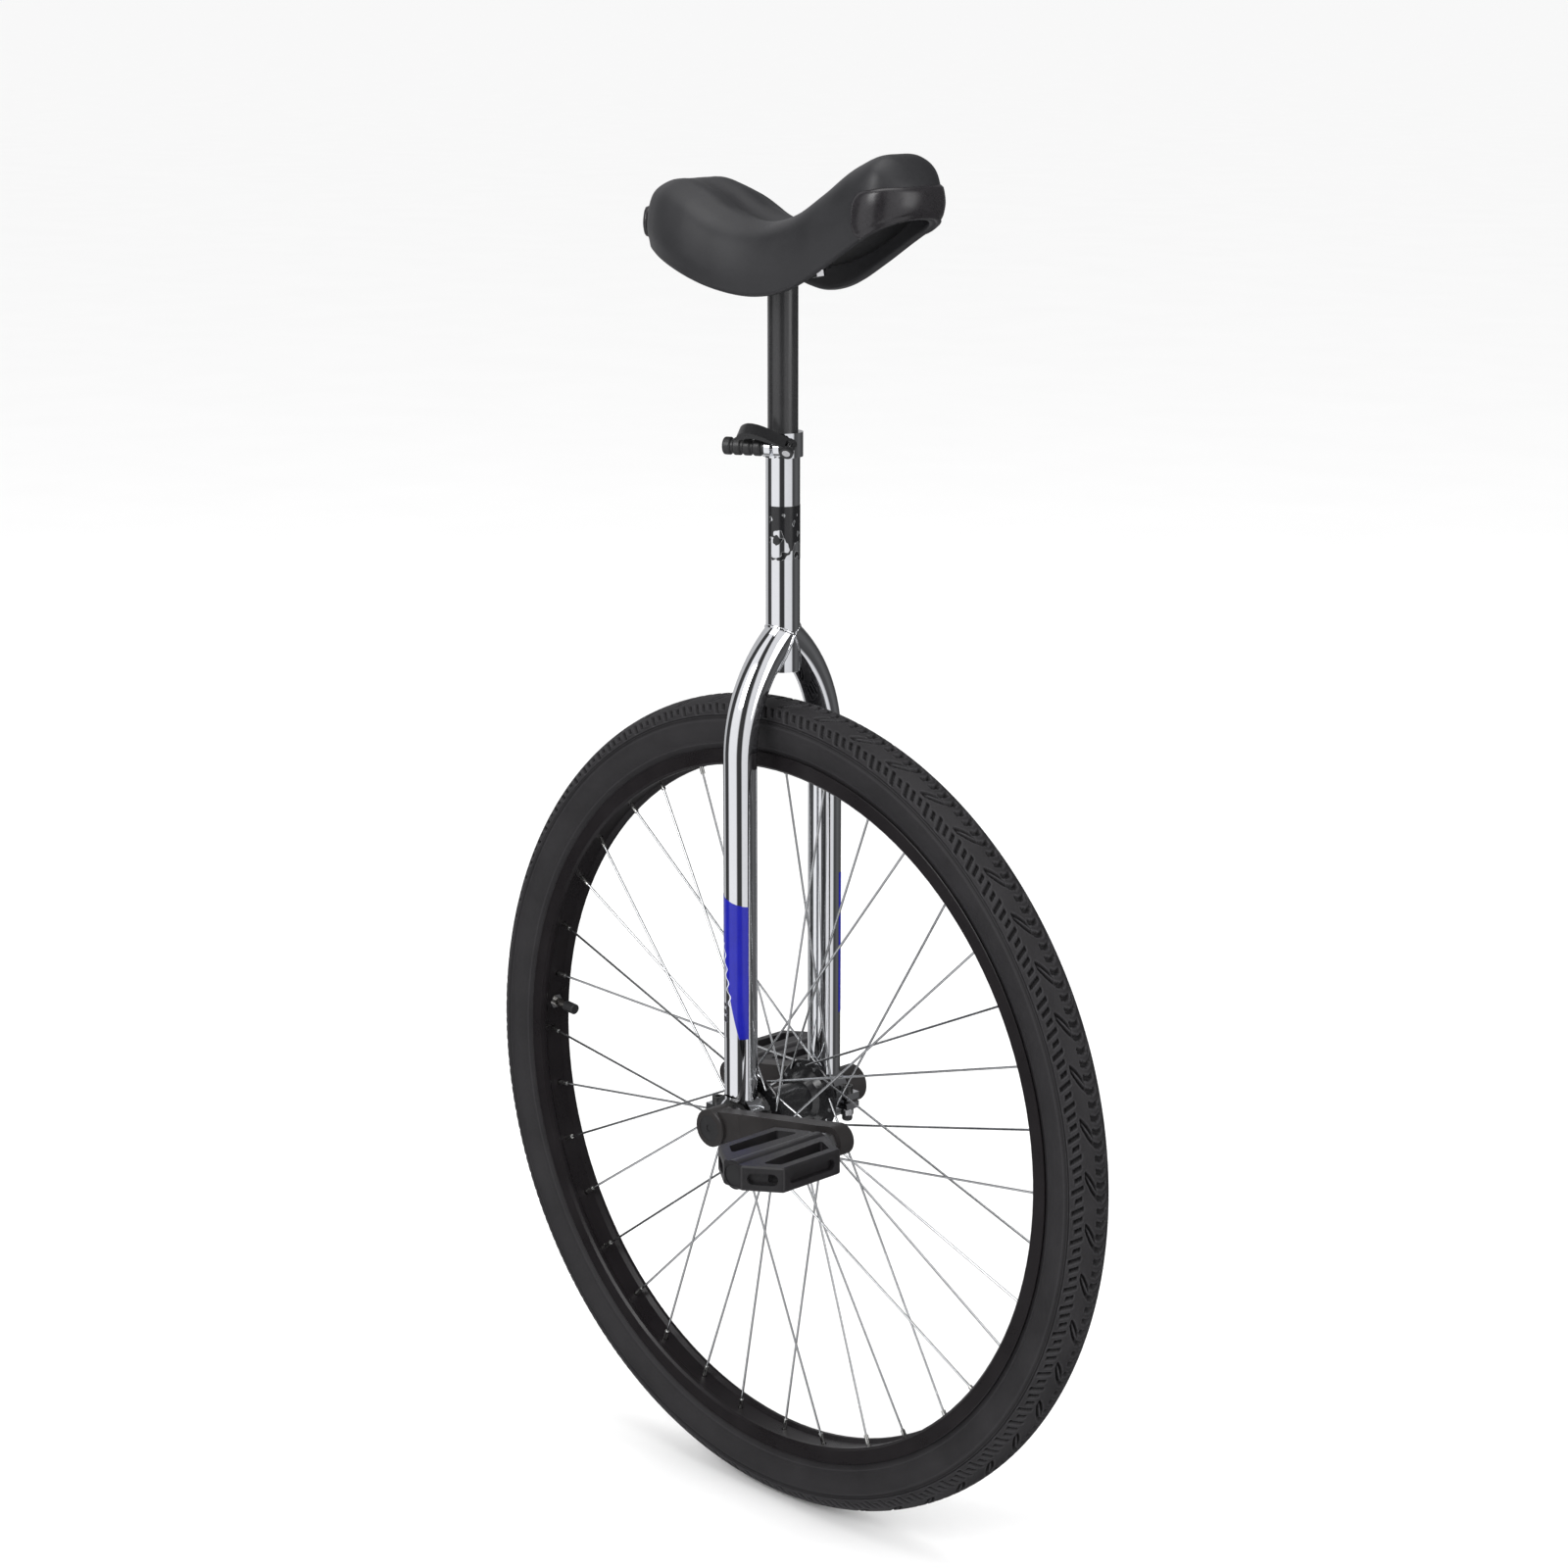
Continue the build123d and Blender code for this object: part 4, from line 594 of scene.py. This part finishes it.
def fill_padding(skin, padding):
    """Lets air pressure swell the padded side while the hem and the hollow side are held.

    padding holds the rounded places of the points that may move.
    """
    rest = coordinates(skin.data)
    held = skin.vertex_groups.new(name="held")
    fixed = [index for index, place in enumerate(rest) if tuple(np.round(place, 6)) not in padding]
    held.add(fixed, 1.0, "REPLACE")
    cloth = skin.modifiers.new("padding", "CLOTH")
    cloth.settings.use_pressure = True
    cloth.settings.uniform_pressure_force = FILL_PRESSURE
    cloth.settings.vertex_group_mass = "held"
    cloth.settings.effector_weights.gravity = 0.0
    cloth.settings.quality = 4
    cloth.settings.tension_stiffness = 30.0
    cloth.settings.compression_stiffness = 30.0
    cloth.settings.bending_stiffness = 3.0
    cloth.point_cache.frame_start, cloth.point_cache.frame_end = 1, FILL_FRAMES
    scene = bpy.context.scene
    for step in range(1, FILL_FRAMES + 1):
        scene.frame_set(step)
    evaluated = skin.evaluated_get(bpy.context.evaluated_depsgraph_get())
    moved = coordinates(evaluated.data)
    skin.modifiers.remove(cloth)
    scene.frame_set(1)
    shift = moved - rest
    # short moves stay nearly whole, and long ones close in on the limit
    length = np.linalg.norm(shift, axis=1, keepdims=True)
    shift *= FILL_LIMIT / (FILL_LIMIT + length)
    skin.data.vertices.foreach_set("co", (rest + shift).ravel())
    skin.data.update()


GUARD_COLUMNS, GUARD_ROWS = 121, 15
GUARD_ENDS = 0.20                 # share of the reach over which both ends round off
GUARD_BULGE = 0.0009
GUARD_TOP_EDGE, GUARD_FOOT_EDGE = 0.0030, 0.0040      # how far the rounded edges reach in
OUTER_GAP, INNER_GAP = 0.0002, 0.0001                 # to the skin
# the lip under the hem: how far in from the guard's foot, and how far down
LIP = ((-0.0012, 0.0020), (0.0020, 0.0036), (0.0064, 0.0038), (0.0066, 0.0030), (0.0020, 0.0026))


def skin_distance(tree, centre, out):
    """From a point inside the saddle to its skin in a level direction, or None."""
    place = tree.ray_cast(centre + out * 0.2, -out)[0]
    return None if place is None else (place - centre).length


def build_bumper(name, replaced, tree, centre_x, facing, reach, height_at, swell):
    """A moulded guard that hugs the skin's end, with rounded edges and a lip rolled under the hem.

    It fans out from centre_x by the angle reach to both sides of the angle facing.
    """
    rings = []
    for column in range(GUARD_COLUMNS):
        # columns lie closer together at both ends, where the guard rounds off
        share = 2 * column / (GUARD_COLUMNS - 1) - 1
        share = math.copysign(1 - (1 - abs(share)) ** 1.25, share)
        angle = facing + reach * share
        out = Vector((math.cos(angle), math.sin(angle), 0.0))
        # the guard's heights depend on x, which depends on the skin's distance at those heights
        x = centre_x
        for _ in range(4):
            low, high = height_at(x)
            centre = Vector((centre_x, 0.0, HUB_Z + low + 0.55 * (high - low)))
            radius = skin_distance(tree, centre, out) or 0.05
            x = centre_x + out.x * radius
        past = max(0.0, (abs(share) - (1 - GUARD_ENDS)) / GUARD_ENDS)
        span = math.sqrt(max(0.0, 1 - past**2))
        middle = (low + high) / 2
        low, high = middle + (low - middle) * span, middle + (high - middle) * span
        outer, inner = [], []
        for row in range(GUARD_ROWS):
            up = row / (GUARD_ROWS - 1)
            centre = Vector((centre_x, 0.0, HUB_Z + low + (high - low) * up))
            radius = skin_distance(tree, centre, out) or radius
            edge = min(1.0, up * (high - low) / GUARD_FOOT_EDGE, (1 - up) * (high - low) / GUARD_TOP_EDGE)
            rise = swell * span * math.sqrt(max(0.0, 1 - (1 - edge) ** 2))
            rise += GUARD_BULGE * span * math.sin(math.pi * up)
            outer.append(centre + out * (radius + rise + OUTER_GAP))
            inner.append(centre + out * (radius + INNER_GAP))
        foot = Vector((centre_x, 0.0, HUB_Z + low))
        first = (inner[0] - foot).length
        lip = [foot + out * (first - back * span) - Vector((0.0, 0.0, down * span)) for back, down in LIP]
        rings.append(list(reversed(outer)) + lip + inner)
    points = [place for ring in rings for place in ring]
    guard = mesh_object(name, points, grid_faces(GUARD_COLUMNS, len(rings[0]), False, True),
                        finishes["bumper_plastic"], merge=0.00001)
    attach(guard, "saddle_post")
    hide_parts(replaced)


def foot_height(x):
    """Height of the saddle's foot over the hub."""
    return saddle_measure(2, x * 1000) / 1000


FOOT_GAP = 0.0004
FRONT_TOP, REAR_TOP = 0.7885, 0.7665      # over the hub


def front_heights(x):
    """Foot and top of the front guard, whose top climbs towards the nose."""
    return foot_height(x) + FOOT_GAP, FRONT_TOP + 0.0035 * float(smoothstep(0.125, 0.150, x))


def rear_heights(x):
    """Foot and top of the rear guard."""
    return foot_height(x) + FOOT_GAP, REAR_TOP


def build_bumpers(skin):
    """Both guards, fitted to the finished skin."""
    mesh = skin.data
    tree = BVHTree.FromPolygons([v.co for v in mesh.vertices], [p.vertices[:] for p in mesh.polygons])
    build_bumper("front_bumper_guard", "front_bumper", tree, centre_x=0.100, facing=0.0,
                 reach=math.radians(67), height_at=front_heights, swell=0.0019)
    build_bumper("rear_bumper_guard", "rear_bumper", tree, centre_x=-0.095, facing=math.pi,
                 reach=math.radians(64), height_at=rear_heights, swell=0.0050)


build_bumpers(build_saddle_skin())


# ---------------------------------------------------------------- welds at the fork crown
BEND_START_Z = HUB_Z + 0.316      # where a leg starts to bend inwards
BEND_RADIUS = 0.127
SEAM_POINTS = 72
SEAM_SEARCH_STEPS = 40
WELD_RADIUS = 0.0015
WELD_FINENESS = 4                 # rings between two points of the seam
WELD_SIDES = 10
RIPPLE, RIPPLE_RINGS = 0.04, 9


def leg_surface(side, bend, around):
    """A point on a leg's skin, where bend is the angle along its bend and around the angle about its axis."""
    out = BEND_RADIUS * math.cos(bend) + TUBE_RADIUS * math.cos(around) * math.cos(bend)
    y = side * (LEG_Y - BEND_RADIUS + out)
    z = BEND_START_Z + (BEND_RADIUS + TUBE_RADIUS * math.cos(around)) * math.sin(bend)
    return Vector((TUBE_RADIUS * math.sin(around), y, z))


def crown_seam(side):
    """The line along which a leg meets the seat tube, found by halving a range of bend angles."""
    line = []
    for step in range(SEAM_POINTS):
        around = 2 * math.pi * step / SEAM_POINTS
        low, high = 0.0, math.radians(60)
        for _ in range(SEAM_SEARCH_STEPS):
            middle = (low + high) / 2
            p = leg_surface(side, middle, around)
            outside = p.y * side > 0 and math.hypot(p.x, p.y) > TUBE_RADIUS
            low, high = (middle, high) if outside else (low, middle)
        line.append(leg_surface(side, low, around))
    return line


def build_weld(name, line):
    """A faintly rippled bead of weld metal along a closed line."""
    rings = []
    count = len(line)
    for step in range(count * WELD_FINENESS):
        at = step / WELD_FINENESS
        a, b = line[int(at) % count], line[(int(at) + 1) % count]
        place = a.lerp(b, at - int(at))
        tangent = (b - a).normalized()
        outward = Vector((place.x, place.y, 0)).normalized()
        across = tangent.cross(outward).normalized()
        size = WELD_RADIUS * (1 + RIPPLE * math.sin(step * 2 * math.pi / RIPPLE_RINGS))
        for corner in range(WELD_SIDES):
            angle = 2 * math.pi * corner / WELD_SIDES
            rings.append(place + across * size * math.cos(angle) + outward * size * 0.8 * math.sin(angle))
    faces = grid_faces(count * WELD_FINENESS, WELD_SIDES, True, True)
    bead = mesh_object(name, rings, faces, finishes["chrome"])
    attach(bead, "frame")


for weld_name, side in (("right_crown_weld", -1), ("left_crown_weld", 1)):
    build_weld(weld_name, crown_seam(side))


# ---------------------------------------------------------------- studio
FLOOR_SIZE, FLOOR_ROWS = 400.0, 41
FLOOR_DROP = 0.0003               # keeps the floor just clear of the tyre


def build_floor():
    """A pale sheet of paper that reaches past the picture."""
    n = finish_surface("floor_paper", colour=(0.94, 0.94, 0.94), rough=0.9, vary=0.01, blotch=3,
                       grain_scale=300, grain_strength=0.02, specular=0.0)
    lines = [FLOOR_SIZE * (i / (FLOOR_ROWS - 1) - 0.5) for i in range(FLOOR_ROWS)]
    points = [(x, y, -FLOOR_DROP) for x in lines for y in lines]
    floor = mesh_object("floor", points, grid_faces(FLOOR_ROWS, FLOOR_ROWS, False, False), n.material)
    floor.visible_glossy = False


# compass bearings of the strips, degrees from +X towards +Y, and how bright each is
STRIPS = ((-180, 0.55), (-166, 0.60), (-160, 0.05), (-131, 0.05), (-124, 0.97), (-72, 0.95), (-64, 0.05),
          (-37, 0.04), (-30, 0.85), (16, 0.78), (25, 0.06), (60, 0.12), (100, 0.05), (128, 0.20), (140, 0.50),
          (165, 0.55))


def build_world():
    """White all round, with dark and pale strips that show only in reflections."""
    world = bpy.data.worlds.new("studio")
    bpy.context.scene.world = world
    world.use_nodes = True
    tree = world.node_tree
    tree.nodes.clear()
    output = tree.nodes.new("ShaderNodeOutputWorld")
    mix = tree.nodes.new("ShaderNodeMixShader")
    plain = tree.nodes.new("ShaderNodeBackground")
    strips = tree.nodes.new("ShaderNodeBackground")
    plain.inputs["Color"].default_value = (1.0, 1.0, 1.0, 1.0)
    path = tree.nodes.new("ShaderNodeLightPath")
    place = tree.nodes.new("ShaderNodeTexCoord")
    split = tree.nodes.new("ShaderNodeSeparateXYZ")
    angle = tree.nodes.new("ShaderNodeMath")
    angle.operation = "ARCTAN2"
    share = tree.nodes.new("ShaderNodeMapRange")
    share.inputs["From Min"].default_value = -math.pi
    share.inputs["From Max"].default_value = math.pi
    ramp = tree.nodes.new("ShaderNodeValToRGB")
    links = tree.links
    links.new(place.outputs["Generated"], split.inputs[0])
    links.new(split.outputs["Y"], angle.inputs[0])
    links.new(split.outputs["X"], angle.inputs[1])
    links.new(angle.outputs[0], share.inputs["Value"])
    links.new(share.outputs["Result"], ramp.inputs["Fac"])
    links.new(ramp.outputs["Color"], strips.inputs["Color"])
    links.new(path.outputs["Is Glossy Ray"], mix.inputs["Fac"])
    links.new(plain.outputs[0], mix.inputs[1])
    links.new(strips.outputs[0], mix.inputs[2])
    links.new(mix.outputs[0], output.inputs["Surface"])
    elements = ramp.color_ramp.elements
    while len(elements) > 1:
        elements.remove(elements[-1])
    for index, (bearing, level) in enumerate(STRIPS):
        position = (bearing + 180) / 360
        element = elements[0] if index == 0 else elements.new(position)
        element.position = position
        element.color = (level, level, level * 1.02, 1.0)


MACHINE_MIDDLE = Vector((0.0, 0.0, 0.6))


def area_light(name, place, size, watts):
    """A soft white light that is turned towards the middle of the machine."""
    data = bpy.data.lights.new(name, "AREA")
    data.shape = "RECTANGLE"
    data.size, data.size_y = size
    data.energy = watts
    lamp = bpy.data.objects.new(name, data)
    bpy.context.scene.collection.objects.link(lamp)
    direction = MACHINE_MIDDLE - Vector(place)
    lamp.matrix_world = Matrix.Translation(place) @ direction.to_track_quat("-Z", "Y").to_matrix().to_4x4()


CAMERA_PLACE = (1.9521, -1.9102, 1.3154)
CAMERA_FORWARD = (-0.6940, 0.6796, -0.2377)
CAMERA_RIGHT = (0.6996, 0.7145, 0.0)
FOCAL_LENGTH, SENSOR_WIDTH = 76.25, 36.0      # mm


def build_camera():
    """A camera without roll, ahead of the machine on its right, that looks a little down."""
    data = bpy.data.cameras.new("camera")
    data.sensor_width = SENSOR_WIDTH
    data.lens = FOCAL_LENGTH
    data.clip_start, data.clip_end = 0.05, 500.0
    camera = bpy.data.objects.new("camera", data)
    bpy.context.scene.collection.objects.link(camera)
    forward = Vector(CAMERA_FORWARD).normalized()
    right = Vector(CAMERA_RIGHT).normalized()
    up = right.cross(forward).normalized()
    turn = Matrix((right, up, -forward)).transposed().to_4x4()
    camera.matrix_world = Matrix.Translation(CAMERA_PLACE) @ turn
    bpy.context.scene.camera = camera


build_floor()
build_world()
area_light("key", (0.4, -3.2, 2.8), (1.8, 1.8), 60)
area_light("fill", (3.4, 0.8, 1.6), (1.6, 2.2), 25)
area_light("top", (0.0, 0.0, 4.0), (2.5, 2.5), 40)
build_camera()
bpy.context.scene.view_settings.view_transform = "Standard"
bpy.context.scene.view_settings.look = "None"
